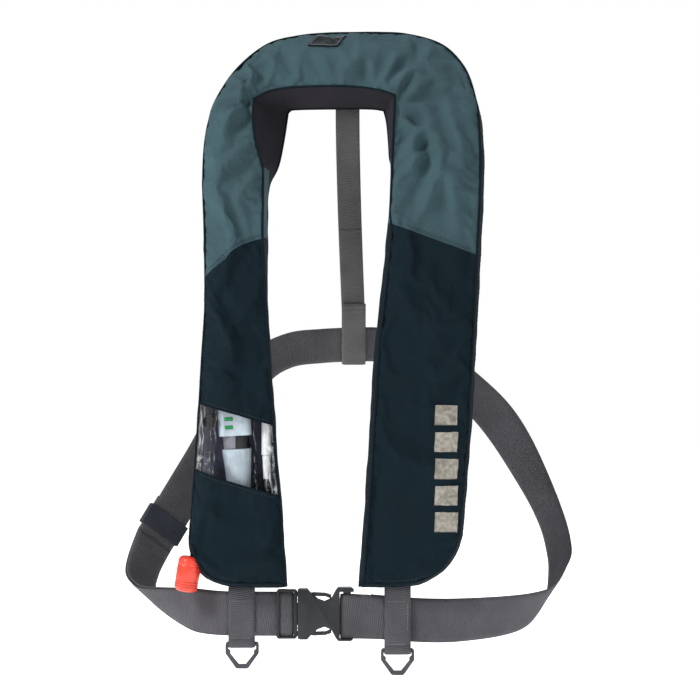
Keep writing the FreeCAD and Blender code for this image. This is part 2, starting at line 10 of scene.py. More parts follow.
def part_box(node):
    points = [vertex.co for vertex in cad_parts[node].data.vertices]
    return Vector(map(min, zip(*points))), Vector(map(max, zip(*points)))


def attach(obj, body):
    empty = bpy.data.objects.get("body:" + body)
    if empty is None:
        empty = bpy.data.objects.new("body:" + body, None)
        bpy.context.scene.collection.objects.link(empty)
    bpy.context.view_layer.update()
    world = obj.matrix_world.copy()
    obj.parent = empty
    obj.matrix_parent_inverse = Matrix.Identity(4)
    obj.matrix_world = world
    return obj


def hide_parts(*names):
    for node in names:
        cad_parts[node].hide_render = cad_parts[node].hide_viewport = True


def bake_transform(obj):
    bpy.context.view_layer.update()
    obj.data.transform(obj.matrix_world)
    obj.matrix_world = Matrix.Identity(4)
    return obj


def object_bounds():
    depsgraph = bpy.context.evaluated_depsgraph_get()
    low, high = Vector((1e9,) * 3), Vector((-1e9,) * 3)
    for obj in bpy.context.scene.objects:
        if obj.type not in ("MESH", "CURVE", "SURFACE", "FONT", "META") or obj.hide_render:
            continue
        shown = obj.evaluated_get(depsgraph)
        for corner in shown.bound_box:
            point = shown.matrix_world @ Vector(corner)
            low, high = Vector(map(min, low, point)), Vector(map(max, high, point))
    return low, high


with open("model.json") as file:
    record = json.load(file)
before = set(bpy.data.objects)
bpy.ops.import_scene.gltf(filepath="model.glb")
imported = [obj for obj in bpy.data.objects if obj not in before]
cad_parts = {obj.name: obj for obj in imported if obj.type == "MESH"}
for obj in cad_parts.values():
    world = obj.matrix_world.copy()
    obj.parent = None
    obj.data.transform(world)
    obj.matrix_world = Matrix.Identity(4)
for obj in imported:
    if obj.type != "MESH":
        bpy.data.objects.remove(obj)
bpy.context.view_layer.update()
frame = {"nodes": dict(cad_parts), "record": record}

scene = bpy.context.scene
nodes = frame["nodes"]
body_of = {n: b for b, held in frame["record"]["behaviour"]["bodies"].items() for n in held}

# Lengths in this script are millimetres until a mesh is made.
MM = 0.001
UV_MM = 10.0  # UV maps are in centimetres


# ---- materials
def lin(colour, alpha=1.0):
    """An sRGB colour in 0-255 as linear RGBA."""
    out = []
    for c in colour:
        c = c / 255
        out.append(c / 12.92 if c <= 0.04045 else ((c + 0.055) / 1.055) ** 2.4)
    return (*out, alpha)


def fill(node, **values):
    """Set a node's inputs by name, an underscore standing for each space."""
    for key, value in values.items():
        node.inputs[key.replace("_", " ")].default_value = value
    return node


class Finish:
    """A material under construction: a Principled shader and its helpers."""

    BAND_SCALE = 0.314  # the Wave texture's scale for one rib per unit

    def __init__(self, name, colour, rough, **inputs):
        self.mat = bpy.data.materials.new(name)
        self.mat.use_nodes = True
        self.tree = self.mat.node_tree
        self.shader = fill(self.tree.nodes["Principled BSDF"],
                           Base_Color=lin(colour), Roughness=rough, **inputs)
        self.normal = None

    def node(self, kind, **values):
        n = self.tree.nodes.new("ShaderNode" + kind)
        for key, value in values.items():
            setattr(n, key, value)
        return n

    def link(self, a, b):
        self.tree.links.new(a, b)

    def coords(self, uv=True, turn=0.0):
        """UV or object coordinates, turned by some degrees."""
        src = self.node("TexCoord")
        m = fill(self.node("Mapping"), Rotation=(0, 0, math.radians(turn)))
        self.link(src.outputs["UV" if uv else "Object"], m.inputs["Vector"])
        return m.outputs["Vector"]

    def bands(self, vector, period, distort=0.0):
        """Ribs with the given period, in the coordinates' own units."""
        w = self.node("TexWave", wave_type="BANDS", bands_direction="X")
        fill(w, Scale=self.BAND_SCALE / period, Distortion=distort, Detail=0.0)
        self.link(vector, w.inputs["Vector"])
        return w.outputs["Fac"]

    def cloud(self, vector, size, detail=3.0):
        n = fill(self.node("TexNoise"), Scale=1.0 / size, Detail=detail)
        self.link(vector, n.inputs["Vector"])
        return n.outputs["Fac"]

    def mottle(self, size, detail=3.0):
        """Noise in the object's own space, its size in metres."""
        return self.cloud(self.coords(uv=False), size, detail)

    def math(self, operation, a, b, clamp=False):
        """Combine a socket with another socket or with a number."""
        n = self.node("Math", operation=operation, use_clamp=clamp)
        self.link(a, n.inputs[0])
        if isinstance(b, bpy.types.NodeSocket):
            self.link(b, n.inputs[1])
        else:
            n.inputs[1].default_value = b
        return n.outputs[0]

    def relief(self, value, depth_mm, strength=1.0):
        """Add a height to the bump chain, its full depth in millimetres."""
        b = fill(self.node("Bump"), Strength=strength, Distance=depth_mm * MM)
        self.link(value, b.inputs["Height"])
        if self.normal is not None:
            self.link(self.normal, b.inputs["Normal"])
        self.normal = b.outputs["Normal"]
        self.link(self.normal, self.shader.inputs["Normal"])

    def remap(self, value, **ends):
        span = fill(self.node("MapRange"), **ends)
        self.link(value, span.inputs["Value"])
        return span.outputs["Result"]

    def tint(self, value, other, low=0.3, high=0.7, amount=1.0):
        """Blend the colour towards another where value is high."""
        mix = self.node("Mix", data_type="RGBA")
        share = self.remap(value, From_Min=low, From_Max=high, To_Max=amount)
        self.link(share, mix.inputs["Factor"])
        before = self.shader.inputs["Base Color"]
        if before.is_linked:
            self.link(before.links[0].from_socket, mix.inputs[6])
        else:
            mix.inputs[6].default_value = before.default_value
        mix.inputs[7].default_value = lin(other)
        self.link(mix.outputs[2], before)

    def gloss(self, value, low, high):
        """Let the roughness wander between two values."""
        self.link(self.remap(value, To_Min=low, To_Max=high), self.shader.inputs["Roughness"])


def shade(colour, k):
    return tuple(min(255, c * k) for c in colour)


def cloth_finish(name, colour, pitch, depth, turn, sheen, light, rough=0.82):
    """Woven nylon: a diagonal rib crossed by a finer one, pitch and depth in mm. Light is the colour of
    the painted highlight on the rib ridges.
    """
    f = Finish(name, colour, rough, Sheen_Weight=sheen, Sheen_Roughness=0.45,
               Specular_IOR_Level=0.12, Sheen_Tint=lin(shade(colour, 2.0)))
    rib = f.bands(f.coords(turn=turn), pitch / 10, distort=0.4)
    cross = f.bands(f.coords(turn=turn + 84), pitch / 13)
    # Patches 45 mm across, darker at random: partly random tone, partly painted light and shade over soft
    # folds.
    f.tint(f.mottle(0.045, 4.0), shade(colour, 0.86), 0.38, 0.66)
    # Painted highlight: the rib ridges are tinted towards the light colour.
    f.tint(rib, light, 0.35, 1.0, 0.42)
    f.tint(f.cloud(f.coords(), 0.11, 2.0), shade(colour, 1.35), 0.5, 0.78, 0.5)
    f.relief(rib, depth)
    f.relief(cross, depth * 0.5)
    f.relief(f.mottle(0.006), 0.25, 0.6)
    return f.mat


def webbing_finish(name, colour, pitch=1.9, depth=0.45, shine=0.16):
    """Ribbed webbing: slightly slanted cross ribs over a fine lengthwise warp."""
    f = Finish(name, colour, 0.74, Sheen_Weight=0.12, Sheen_Roughness=0.5,
               Specular_IOR_Level=shine, Sheen_Tint=lin(shade(colour, 1.7)))
    rib = f.bands(f.coords(turn=8), pitch / 10, distort=0.5)
    warp = f.bands(f.coords(turn=90), 0.11)
    f.tint(f.mottle(0.03), shade(colour, 0.84), 0.35, 0.7)
    f.tint(rib, shade(colour, 0.66), 0.55, 1.0, 0.75)
    f.tint(warp, shade(colour, 1.22), 0.6, 1.0, 0.35)
    f.relief(rib, depth)
    f.relief(warp, depth * 0.4)
    return f.mat


def plastic_finish(name, colour, rough=0.38, grain=0.05, coat=0.0, metal=0.0, shine=0.5):
    """Moulded plastic with a fine grain and slightly worn, paler patches."""
    f = Finish(name, colour, rough, Metallic=metal, Coat_Weight=coat, Specular_IOR_Level=shine)
    f.tint(f.mottle(0.009, 5.0), shade(colour, 1.28), 0.5, 0.8, 0.55)
    f.tint(f.mottle(0.03, 2.0), shade(colour, 0.85), 0.4, 0.7, 0.7)
    f.gloss(f.mottle(0.004), rough * 0.75, rough * 1.3)
    f.relief(f.mottle(0.0007, 2.0), grain)
    return f.mat


def film_finish():
    """Clear sheet: it lets light through, and white glints are painted along its creases from a point
    attribute.
    """
    f = Finish("clear_film", (255, 255, 255), 0.12, Specular_IOR_Level=0.9)
    fill(f.shader, Base_Color=(0.9, 0.93, 0.95, 1))
    f.relief(f.mottle(1 / 240, 2.0), 0.7)
    clear = fill(f.node("BsdfTransparent"), Color=(0.93, 0.95, 0.96, 1))
    edge_on = fill(f.node("LayerWeight"), Blend=0.22).outputs["Facing"]
    painted_glint_mask = f.node("Attribute", attribute_name="painted_glint").outputs["Fac"]
    # The veil paints the sheet white where the painted glints lie, and adds some white where the sheet is
    # seen edge on.
    veil = f.math("ADD", f.math("MULTIPLY", edge_on, 0.4), painted_glint_mask, clamp=True)
    mix = f.node("MixShader")
    f.link(f.math("MULTIPLY", veil, 0.75), mix.inputs["Fac"])
    f.link(clear.outputs["BSDF"], mix.inputs[1])
    f.link(f.shader.outputs["BSDF"], mix.inputs[2])
    f.link(mix.outputs["Shader"], f.tree.nodes["Material Output"].inputs["Surface"])
    return f.mat


TEAL, NAVY, NAVY_BACK = (56, 79, 85), (8, 23, 31), (14, 26, 33)
# The last colour of each cloth is its painted ridge highlight: the cloth's colour where light falls on
# it.
teal = cloth_finish("teal_weave", TEAL, 1.0, 0.16, 32, 0.12, (86, 110, 116))
navy = cloth_finish("navy_weave", NAVY, 1.5, 0.20, -32, 0.06, (30, 50, 59))
navy_back = cloth_finish("navy_back_weave", NAVY_BACK, 1.8, 0.2, 32, 0.05, (28, 45, 53))
lining_cloth = cloth_finish("charcoal_lining", (38, 36, 41), 0.9, 0.2, 0, 0.15, (55, 52, 58), 0.92)
piping_cloth = cloth_finish("piping_tape", (11, 23, 29), 0.8, 0.12, 45, 0.12, (26, 42, 50))
bladder_cloth = cloth_finish("bladder_coated", (70, 70, 86), 0.6, 0.05, 0, 0.1, (96, 97, 116), 0.5)
webbing = webbing_finish("grey_webbing", (93, 92, 97))
# A darker copy of the grey webbing for the belt's rear run: painted shade, as that run lies in shadow.
webbing_painted_shade = webbing_finish("grey_webbing_painted_shade", (88, 88, 92))
strap_webbing = webbing_finish("grey_strap", (104, 102, 102), 1.9, 0.3)
elastic = webbing_finish("elastic_sleeve", (57, 61, 70), 1.3, 0.3, shine=0.12)
cord_dark = webbing_finish("lanyard_cord", (26, 26, 32), 1.0, 0.2, shine=0.32)
zip_coil = plastic_finish("zip_coil", (26, 32, 38), 0.45, shine=0.2)
black_plastic = plastic_finish("black_plastic", (16, 16, 20), 0.42, shine=0.16)
dark_plastic = plastic_finish("buckle_plastic", (44, 46, 49), 0.44, 0.06, shine=0.3)
ring_plastic = plastic_finish("ring_plastic", (70, 72, 78), 0.48, 0.06, shine=0.3)
red_plastic = plastic_finish("red_plastic", (244, 66, 44), 0.36, 0.04, 0.25)
white_plastic = plastic_finish("white_plastic", (232, 232, 228), 0.34)
orange_plastic = plastic_finish("orange_plastic", (236, 120, 40), 0.36)
hose_rubber = plastic_finish("hose_rubber", (30, 31, 34), 0.6, shine=0.16)
badge_rubber = plastic_finish("badge_rubber", (16, 24, 28), 0.5, shine=0.16)
silver = plastic_finish("silver_paint", (188, 198, 207), 0.36, 0.03, 0.25, 0.15)
steel = plastic_finish("cylinder_steel", (168, 172, 176), 0.32, 0.02, 0.1, 0.9)
thread = plastic_finish("thread", (30, 48, 56), 0.7)
thread_grey = plastic_finish("thread_grey", (128, 127, 132), 0.7)
thread_dark = plastic_finish("thread_dark", (38, 38, 42), 0.7)
film = film_finish()

green = Finish("status_green", (10, 120, 50), 0.3)
green.tint(green.mottle(0.002, 2.0), (40, 170, 80), 0.4, 0.7)

print_finish = Finish("reflective_print", (134, 129, 119), 0.45, Metallic=0.2)
print_finish.tint(print_finish.mottle(0.004, 4.0), (160, 155, 144), 0.42, 0.62)
print_finish.relief(print_finish.bands(print_finish.coords(turn=40), 0.09), 0.08)

# The inflator's band is printed dark on the half nearer the jacket's middle.
band = Finish("band_print", (128, 126, 134), 0.35)
band_low, band_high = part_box("inflator_band")
place = band.node("SeparateXYZ")
band.link(band.coords(uv=False), place.inputs["Vector"])
near_middle = band.math("GREATER_THAN", place.outputs["X"], band_low.x * 0.5 + band_high.x * 0.5)
band.tint(near_middle, (16, 16, 20), 0.0, 1.0)
band.relief(band.mottle(0.001, 2.0), 0.04)


# ---- mesh helpers
def quads(rows, cols):
    """The faces of a grid of rows and columns, as corner numbers."""
    return [(r * cols + c, r * cols + c + 1, (r + 1) * cols + c + 1, (r + 1) * cols + c)
            for r in range(rows - 1) for c in range(cols - 1)]


def placed(name, data):
    """A new object for some data, linked into the scene."""
    ob = bpy.data.objects.new(name, data)
    scene.collection.objects.link(ob)
    return ob


def cleaned(me, weld, flat_angle=None):
    """Weld a mesh, drop what its shape doesn't need, and shade it smooth."""
    bm = bmesh.new()
    bm.from_mesh(me)
    bmesh.ops.remove_doubles(bm, verts=bm.verts, dist=weld)
    if flat_angle is None:
        bmesh.ops.dissolve_degenerate(bm, dist=1e-6, edges=bm.edges)
    else:
        bmesh.ops.dissolve_limit(bm, angle_limit=flat_angle, verts=bm.verts, edges=bm.edges)
    bm.to_mesh(me)
    bm.free()
    me.polygons.foreach_set("use_smooth", [True] * len(me.polygons))


def piece(name, grids, material, nodes_replaced=(), body="jacket", weld=0.02):
    """One object made of several grids of points, welded where they meet.

    Each grid is (points[rows, columns, 3] in mm, uv[rows, columns, 2] in cm)."""
    me = bpy.data.meshes.new(name)
    verts, faces, coords = [], [], []
    for points, uv in grids:
        rows, cols = points.shape[:2]
        base = len(verts)
        verts.extend((points.reshape(-1, 3) * MM).tolist())
        flat = uv.reshape(-1, 2)
        for q in quads(rows, cols):
            faces.append([base + k for k in q])
            coords.extend(flat[k] for k in q)
    me.from_pydata(verts, [], faces)
    layer = me.uv_layers.new(name="UVMap")
    layer.data.foreach_set("uv", np.array(coords, np.float32).ravel())
    cleaned(me, weld * MM)
    ob = placed(name, me)
    me.materials.append(material)
    finishing(ob, body, nodes_replaced)
    return ob


def finishing(ob, body, nodes_replaced=()):
    """Say what an object rides on and the nodes it replaces."""
    if body:
        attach(ob, body)
    if nodes_replaced:
        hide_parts(*nodes_replaced)


def unit(v):
    """Vectors scaled to length one."""
    return v / np.linalg.norm(v, axis=-1, keepdims=True)


def arc_lengths(points):
    """Distance along a line of points, from its start."""
    step = np.linalg.norm(np.diff(points, axis=0), axis=1)
    return np.concatenate([[0], np.cumsum(step)])


def cross_frames(line):
    """Tangent and two steady cross directions along a line of points."""
    t = unit(np.gradient(line, axis=0))
    first = np.cross(t[0], (0, 0, 1))
    if np.linalg.norm(first) < 0.1:
        first = np.cross(t[0], (0, 1, 0))
    a = [unit(first)]
    for k in range(1, len(line)):
        a.append(unit(a[-1] - t[k] * np.dot(a[-1], t[k])))
    a = np.array(a)
    return t, a, np.cross(t, a)


def tube_grid(line, radius, sides=8):
    """A round tube along a line of points, as a grid."""
    line = np.array(line, float)
    t, a, b = cross_frames(line)
    ang = np.linspace(0, 2 * math.pi, sides + 1)
    ring = np.cos(ang)[None, :, None] * a[:, None, :] + np.sin(ang)[None, :, None] * b[:, None, :]
    r = np.broadcast_to(radius, (len(line),))[:, None, None]
    points = line[:, None, :] + ring * r
    uv = np.stack(np.broadcast_arrays(arc_lengths(line)[:, None] / UV_MM,
                                      (ang * np.mean(r) / UV_MM)[None, :]), axis=-1)
    return points, uv


STITCH_DIP = -0.25


def stitch_grids(line, normal, length=2.6, gap=1.5, radius=0.32, lift=0.15):
    """Short thread stitches along a line of points, standing on its surface."""
    line = np.array(line, float)
    normal = np.broadcast_to(np.array(normal, float), line.shape)
    s = arc_lengths(line)
    out, start = [], gap
    while start + length < s[-1]:
        where = np.linspace(start, start + length, 5)
        p = np.stack([np.interp(where, s, line[:, k]) for k in range(3)], axis=1)
        n = np.stack([np.interp(where, s, normal[:, k]) for k in range(3)], axis=1)
        rise = np.array([STITCH_DIP, lift, lift + 0.08, lift, STITCH_DIP])[:, None]
        out.append(tube_grid(p + n * rise, radius, 5))
        start += length + gap
    return out


def smooth_path(points, steps=8):
    """A Catmull-Rom curve through the points."""
    p = np.array(points, float)
    out = []
    for k in range(len(p) - 1):
        p0, p1, p2, p3 = p[max(k - 1, 0)], p[k], p[k + 1], p[min(k + 2, len(p) - 1)]
        for t in np.arange(steps) / steps:
            bend = (p2 - p0) * t + (2 * p0 - 5 * p1 + 4 * p2 - p3) * t ** 2
            bend = bend + (3 * p1 - p0 - 3 * p2 + p3) * t ** 3
            out.append(p1 + bend * 0.5)
    return np.array(out + [p[-1]])


def wobble(points, size, seed=0.0):
    """Smooth noise from -1 to 1 at points in mm."""
    flat = points.reshape(-1, 3) / size
    values = [noise.noise(Vector((x + seed, y - seed, z + 0.37 * seed))) for x, y, z in flat]
    return np.array(values).reshape(points.shape[:-1])


# ---- pouch shape
# The pouch hangs upright up to BEND_Z, then leans back round an arc.
BEND_Z, BEND_R, LEAN = -90.0, 210.0, math.radians(33)
HALF = 26.0
THICK = 2 * HALF
FRONT_R = BEND_R + HALF


def at(x, z, depth):
    """A point under the front skin: z is the height on that skin, depth is inward."""
    x, z, depth = np.broadcast_arrays(*(np.asarray(v, float) for v in (x, z, depth)))
    s = np.clip((z - BEND_Z) / FRONT_R, 0, math.sin(LEAN))
    t = np.arcsin(s)
    past = np.maximum(z - (BEND_Z + FRONT_R * math.sin(LEAN)), 0)
    y = BEND_R - FRONT_R * np.cos(t) + past * np.tan(t)
    return np.stack([x, y + depth * np.cos(t), z - depth * np.sin(t)], axis=-1)


def laid(xz, depth):
    """A grid of x and z laid out in space at a depth."""
    return at(xz[:, :, 0], xz[:, :, 1], depth)


# Rows across the pouch from the foot of the right lobe, over the collar, to the
# foot of the left lobe: inner edge, outer edge, and the inner edge at the back.
rows = [
    ("foot_right", (-56.5, -484), (-157, -435), None),
    ("", (-59.5, -440), (-154.4, -402), None),
    ("window_low", (-62.8, -391), (-151.6, -364), None),
    ("", (-66.5, -354), (-149.2, -330), None),
    ("window_top", (-68.6, -319), (-147, -297), None),
    ("", (-73.2, -250), (-144, -245), None),
    ("", (-76.8, -190), (-141.3, -205), None),
    ("seam_right", (-79.8, -129), (-141, -168), (-74.5, -129)),
    ("", (-79.5, -88), (-142, -114), (-74.5, -90)),
    ("lining_right", (-80.5, -56), (-143.2, -70), (-69.5, -58)),
    ("", (-87, -34), (-142, -35), (-64.5, -36)),
    ("", (-90.5, -8), (-138.5, -6), (-60, -4)),
    ("corner_right", (-90, 15), (-131, 22), (-57, 25)),
    ("", (-79, 21.5), (-114, 53), (-54, 28.5)),
    ("", (-62, 26), (-79, 85.5), (-48, 29.5)),
    ("", (-41, 28), (-46, 95), (-38, 30)),
    ("", (-20, 28.6), (-18, 98), (-18, 30.4)),
    ("", (4, 28.4), (10, 98.5), (4, 30.6)),
    ("", (24, 26.6), (38, 97.6), (22, 30.6)),
    ("", (39, 23.6), (66, 94.6), (33, 30)),
    ("corner_left", (52, 19), (107, 79), (42, 28)),
    ("", (51, 2), (127, 56), (44.5, 14)),
    ("", (50, -20), (139, 18), (46.5, -14)),
    ("lining_left", (49, -45), (143, -30), (47.5, -45)),
    ("", (48, -72), (143, -66), (48, -74)),
    ("seam_left", (45.5, -114), (139.6, -146), None),
    ("", (40, -170), (137.6, -190), None),
    ("", (32, -240), (134.4, -250), None),
    ("", (28, -300), (131, -312), None),
    ("", (22.5, -390), (125, -388), None),
    ("foot_left", (15.6, -484), (121, -432), None),
]
foot_right = [(-56.5, -484), (-80, -484.6), (-108, -484), (-128, -480.5), (-141.5, -473),
              (-150.5, -461), (-155.3, -448), (-157, -435)]
foot_left = [(15.6, -484), (38, -484.6), (60, -484), (80, -480.5), (98, -471), (109.5, -459),
             (117, -446), (121, -432)]
names = [r[0] for r in rows]
inner_key = np.array([r[1] for r in rows], float)
outer_key = np.array([r[2] for r in rows], float)
back_key = np.array([r[3] or r[1] for r in rows], float)
CELL = 2.8  # spacing of the rows


def hermite(keys, at_keys, t, breaks=()):
    """A smooth curve through keys placed at at_keys, with sharp corners at breaks."""
    cuts = [0, *breaks, len(keys) - 1]
    out = np.zeros((len(t), keys.shape[1]))
    for a, b in zip(cuts, cuts[1:]):
        k, u = keys[a:b + 1], at_keys[a:b + 1]
        slope = np.gradient(k, u, axis=0)
        inside = (t >= u[0] - 1e-9) & (t <= u[-1] + 1e-9)
        ti = t[inside]
        n = np.clip(np.searchsorted(u, ti, side="right") - 1, 0, len(u) - 2)
        h = (u[n + 1] - u[n])[:, None]
        s = (ti - u[n])[:, None] / h
        out[inside] = ((2 * s ** 3 - 3 * s ** 2 + 1) * k[n] + (s ** 3 - 2 * s ** 2 + s) * h * slope[n]
                       + (-2 * s ** 3 + 3 * s ** 2) * k[n + 1] + (s ** 3 - s ** 2) * h * slope[n + 1])
    return out


mid_key = (inner_key + outer_key) / 2
key_at = arc_lengths(mid_key)
t_rows, row_of = [], {}
for n in range(len(rows) - 1):
    if names[n]:
        row_of[names[n]] = len(t_rows)
    wide = max(key_at[n + 1] - key_at[n], np.linalg.norm(outer_key[n + 1] - outer_key[n]) * 0.8)
    steps = max(2, round(wide / CELL))
    t_rows.extend(key_at[n] + (key_at[n + 1] - key_at[n]) * k / steps for k in range(steps))
row_of[names[-1]] = len(t_rows)
t_rows = np.array(t_rows + [key_at[-1]])
R = len(t_rows)
corners = (names.index("corner_right"), names.index("corner_left"))
inner = hermite(inner_key, key_at, t_rows, corners)
outer = hermite(outer_key, key_at, t_rows)
inner_back = hermite(back_key, key_at, t_rows, corners)
C = 38  # points across the pouch
v_cols = np.linspace(0, 1, C)


def even(points, count):
    """A smooth curve through the points, resampled evenly."""
    p = smooth_path(points, 12)
    s = arc_lengths(p)
    want = np.linspace(0, s[-1], count)
    return np.stack([np.interp(want, s, p[:, k]) for k in range(2)], axis=1)


start_edge, end_edge = even(foot_right, C), even(foot_left, C)


def closed_loop(inside):
    """The whole edge of a panel: outer edge, left foot, inner edge, right foot."""
    return np.concatenate([outer, end_edge[::-1][1:-1], inside[::-1], start_edge[1:-1]])


def inward(loop):
    """Directions square to a closed edge, pointing into the panel."""
    t = np.roll(loop, -1, axis=0) - np.roll(loop, 1, axis=0)
    n = unit(np.stack([t[:, 1], -t[:, 0]], axis=1))
    for _ in range(2):
        n = unit((np.roll(n, 1, axis=0) + 2 * n + np.roll(n, -1, axis=0)) / 4)
    return n


loop_front, loop_back = closed_loop(inner), closed_loop(inner_back)
in_front, in_back = inward(loop_front), inward(loop_back)
L = len(loop_front)
OUTER = np.arange(R)
LEFT_FOOT = np.arange(R, R + C - 2)
INNER = np.arange(R + C - 2, 2 * R + C - 2)[::-1]   # in row order
RIGHT_FOOT = np.arange(2 * R + C - 2, L)

# How far inside the outline each seam runs, and how deep the front seam lies.
# Over the right shoulder the front fabric wraps right round the edge.
inset_front, seam_depth = np.full(L, 4.4), np.full(L, 7.0)
wrap = np.clip((outer[:, 0] - 10) / 90, 0, 1)
wrap = np.where(outer[:, 1] < -20, np.where(outer[:, 0] < 0, 0, 1), wrap)
inset_front[OUTER] = 0.8 + 3.0 * wrap
seam_depth[OUTER] = 17 - 9.5 * wrap
neck_rows = slice(row_of["lining_right"], row_of["seam_left"])
inset_front[INNER[neck_rows]] = 0.8
seam_depth[INNER[neck_rows]] = 5.0
inset_back = np.full(L, 4.4)
inset_back[INNER[slice(row_of["lining_right"], row_of["lining_left"])]] = 0.6
inset_front[INNER[:row_of["lining_right"]]] = 1.4


def eased(values, passes=14):
    """Smooth values round the closed edge."""
    for _ in range(passes):
        values = (np.roll(values, 1) + 2 * values + np.roll(values, -1)) / 4
    return values


inset_front, seam_depth, inset_back = eased(inset_front), eased(seam_depth), eased(inset_back)
seam_front = loop_front + in_front * inset_front[:, None]
seam_back = loop_back + in_back * inset_back[:, None]


def between(a, b, share):
    """Columns of points between two edges, each at its share of the way."""
    return a[:, None, :] * (1 - share)[None, :, None] + b[:, None, :] * share[None, :, None]


FOOT_REACH = 95  # how far up a lobe the curve of its foot is still felt


def panel(seam):
    """Fill a closed edge with a grid of rows and columns."""
    a, b = seam[INNER], seam[OUTER]
    grid = between(a, b, v_cols)
    foot_a = np.concatenate([a[:1], seam[RIGHT_FOOT], b[:1]])
    foot_b = np.concatenate([a[-1:], seam[LEFT_FOOT][::-1], b[-1:]])
    for foot, base, dist in ((foot_a, grid[0].copy(), t_rows - t_rows[0]),
                             (foot_b, grid[-1].copy(), t_rows[-1] - t_rows)):
        fade = np.clip(1 - dist / FOOT_REACH, 0, 1) ** 2
        grid = grid + fade[:, None, None] * (foot - base)[None, :, :]
    return grid


front_xz, back_xz = panel(seam_front), panel(seam_back)


def seam_wave(grid):
    """Bend the rows near the right colour seam into its shallow S."""
    t = t_rows - t_rows[row_of["seam_right"]]
    near = np.exp(-(t / 24) ** 2)
    bow = 9.0 * np.sin(np.pi * v_cols) ** 1.2 * (1 - 0.35 * v_cols)
    grid[:, :, 1] += near[:, None] * bow[None, :]
    return grid


front_xz = seam_wave(front_xz)


def edge_distance(grid, seam):
    """How far each point is from the seam, and which seam point is nearest."""
    flat = grid.reshape(-1, 2)
    best, which = np.full(len(flat), 1e9), np.zeros(len(flat), int)
    for k in range(0, len(seam), 40):
        d = ((flat[:, None, :] - seam[k:k + 40][None, :, :]) ** 2).sum(-1)
        n = d.argmin(1)
        d = d.min(1)
        which = np.where(d < best, n + k, which)
        best = np.minimum(best, d)
    return np.sqrt(best).reshape(grid.shape[:2]), which.reshape(grid.shape[:2])


def crown(dist, reach):
    """How full the stuffing is at a distance from the seam, from 0 to 1."""
    u = np.clip(dist / reach, 0, 1)
    return 1 - (1 - u) ** 2.3


# Creases in the front: start, end, half width, height. They fan out from the
# two corners of the neck opening, and a few cross the lobes.
creases = [
    ((-95, 22), (-128, 46), 5, 3.2), ((-94, 14), (-137, 22), 5, 2.6),
    ((-90, 26), (-106, 66), 5, 3.0), ((-93, 4), (-136, -22), 6, 2.6),
    ((-88, -30), (-132, -78), 8, 2.6), ((-84, -55), (-124, -112), 8, 2.2),
    ((-76, 30), (-72, 62), 6, 1.8), ((-50, 34), (-44, 72), 7, 1.6),
    ((2, 34), (12, 68), 7, 1.5), ((38, 32), (58, 66), 6, 2.2),
    ((58, 14), (96, 44), 6, 3.2), ((62, 6), (108, 8), 5, 2.4),
    ((56, -8), (92, -22), 5, 2.8), ((60, -52), (96, -4), 6, 3.2),
    ((54, -76), (104, -22), 5, 2.4), ((84, -104), (110, -18), 8, 3.4),
    ((116, -118), (124, -10), 9, 2.2), ((70, -120), (92, -66), 8, 1.8),
    ((-116, -120), (-122, -40), 9, 2.0), ((-98, -122), (-96, -76), 7, 1.6),
    ((-82, -180), (-118, -250), 9, 1.4), ((-134, -200), (-104, -262), 9, 1.3),
    ((48, -180), (92, -226), 9, 1.4), ((126, -240), (84, -300), 9, 1.3),
    ((-128, -60), (-96, 44), 9, 2.0), ((-108, 40), (-46, 74), 8, 2.2),
    ((-99, 20), (-112, 8), 5, 3.6), ((-94, 30), (-99, 44), 4, 3.2),
    ((14, 40), (34, 50), 9, -2.6), ((-4, 36), (4, 48), 5, 1.8),
    ((54, 24), (88, 58), 6, 3.8), ((86, 56), (98, 84), 7, 2.0),
    ((60, -2), (76, -100), 8, 3.0), ((84, 10), (104, -104), 9, 2.8),
    ((108, 20), (126, -96), 8, 2.0),
    ((38, -330), (92, -374), 10, 1.3), ((112, -352), (60, -420), 10, 1.4),
    ((-150, -392), (-96, -436), 9, 1.3), ((-70, -452), (-118, -470), 8, 1.2),
]


CREASE_LIFT = 2.1


def crease_height(grid):
    """How far the creases lift each point of the front."""
    total = np.zeros(grid.shape[:2])
    for a, b, wide, high in creases:
        a, b = np.array(a, float), np.array(b, float)
        d = b - a
        length = np.linalg.norm(d)
        d /= length
        rel = grid - a
        along = rel @ d
        across = rel @ np.array([-d[1], d[0]])
        across = across + 3.0 * np.sin(along / length * 3.1 + a[0])
        s = np.clip(along / length, -0.4, 1.4)
        body = np.exp(-((s - 0.42) / 0.36) ** 2)
        w = wide * (0.7 + 0.7 * np.clip(s, 0, 1))
        ridge = np.exp(-(across / w) ** 2) - 0.55 * np.exp(-((across - 1.9 * w) / w) ** 2)
        total += CREASE_LIFT * high * body * ridge
    return total


def with_depth(xz):
    """The same grid as points in space, for sampling noise."""
    return np.concatenate([xz, np.zeros(xz.shape[:2] + (1,))], axis=2)


dist_front, near_front = edge_distance(front_xz, seam_front)
dist_back, _ = edge_distance(back_xz, seam_back)
SEAM_DEPTH, CROWN_REACH = 7.0, 26
rim_depth = seam_depth[near_front]
depth_front = rim_depth * (1 - crown(dist_front, CROWN_REACH)) - 1.6 * crown(dist_front, 48)
calm = np.clip(dist_front / 7, 0, 1)
probe = with_depth(front_xz)
depth_front -= crease_height(front_xz) * calm
depth_front -= calm * (1.5 * wobble(probe, 46, 3.1) + 0.7 * wobble(probe, 19, 8.7))
gather = np.clip(1 - dist_front / 16, 0, 1) * np.clip(dist_front / 3, 0, 1)
depth_front -= gather * 0.9 * wobble(probe, 8, 5.5)
front = laid(front_xz, depth_front)
probe_b = with_depth(back_xz)
depth_back = THICK - SEAM_DEPTH * (1 - crown(dist_back, CROWN_REACH))
slack_back = 1.3 * wobble(probe_b, 50, 21.0) + 0.5 * wobble(probe_b, 20, 2.0)
depth_back += np.clip(dist_back / 14, 0, 1) * slack_back
back = laid(back_xz, depth_back)

SETTLE_FRAMES, SETTLE_LIMIT = 24, 5.0


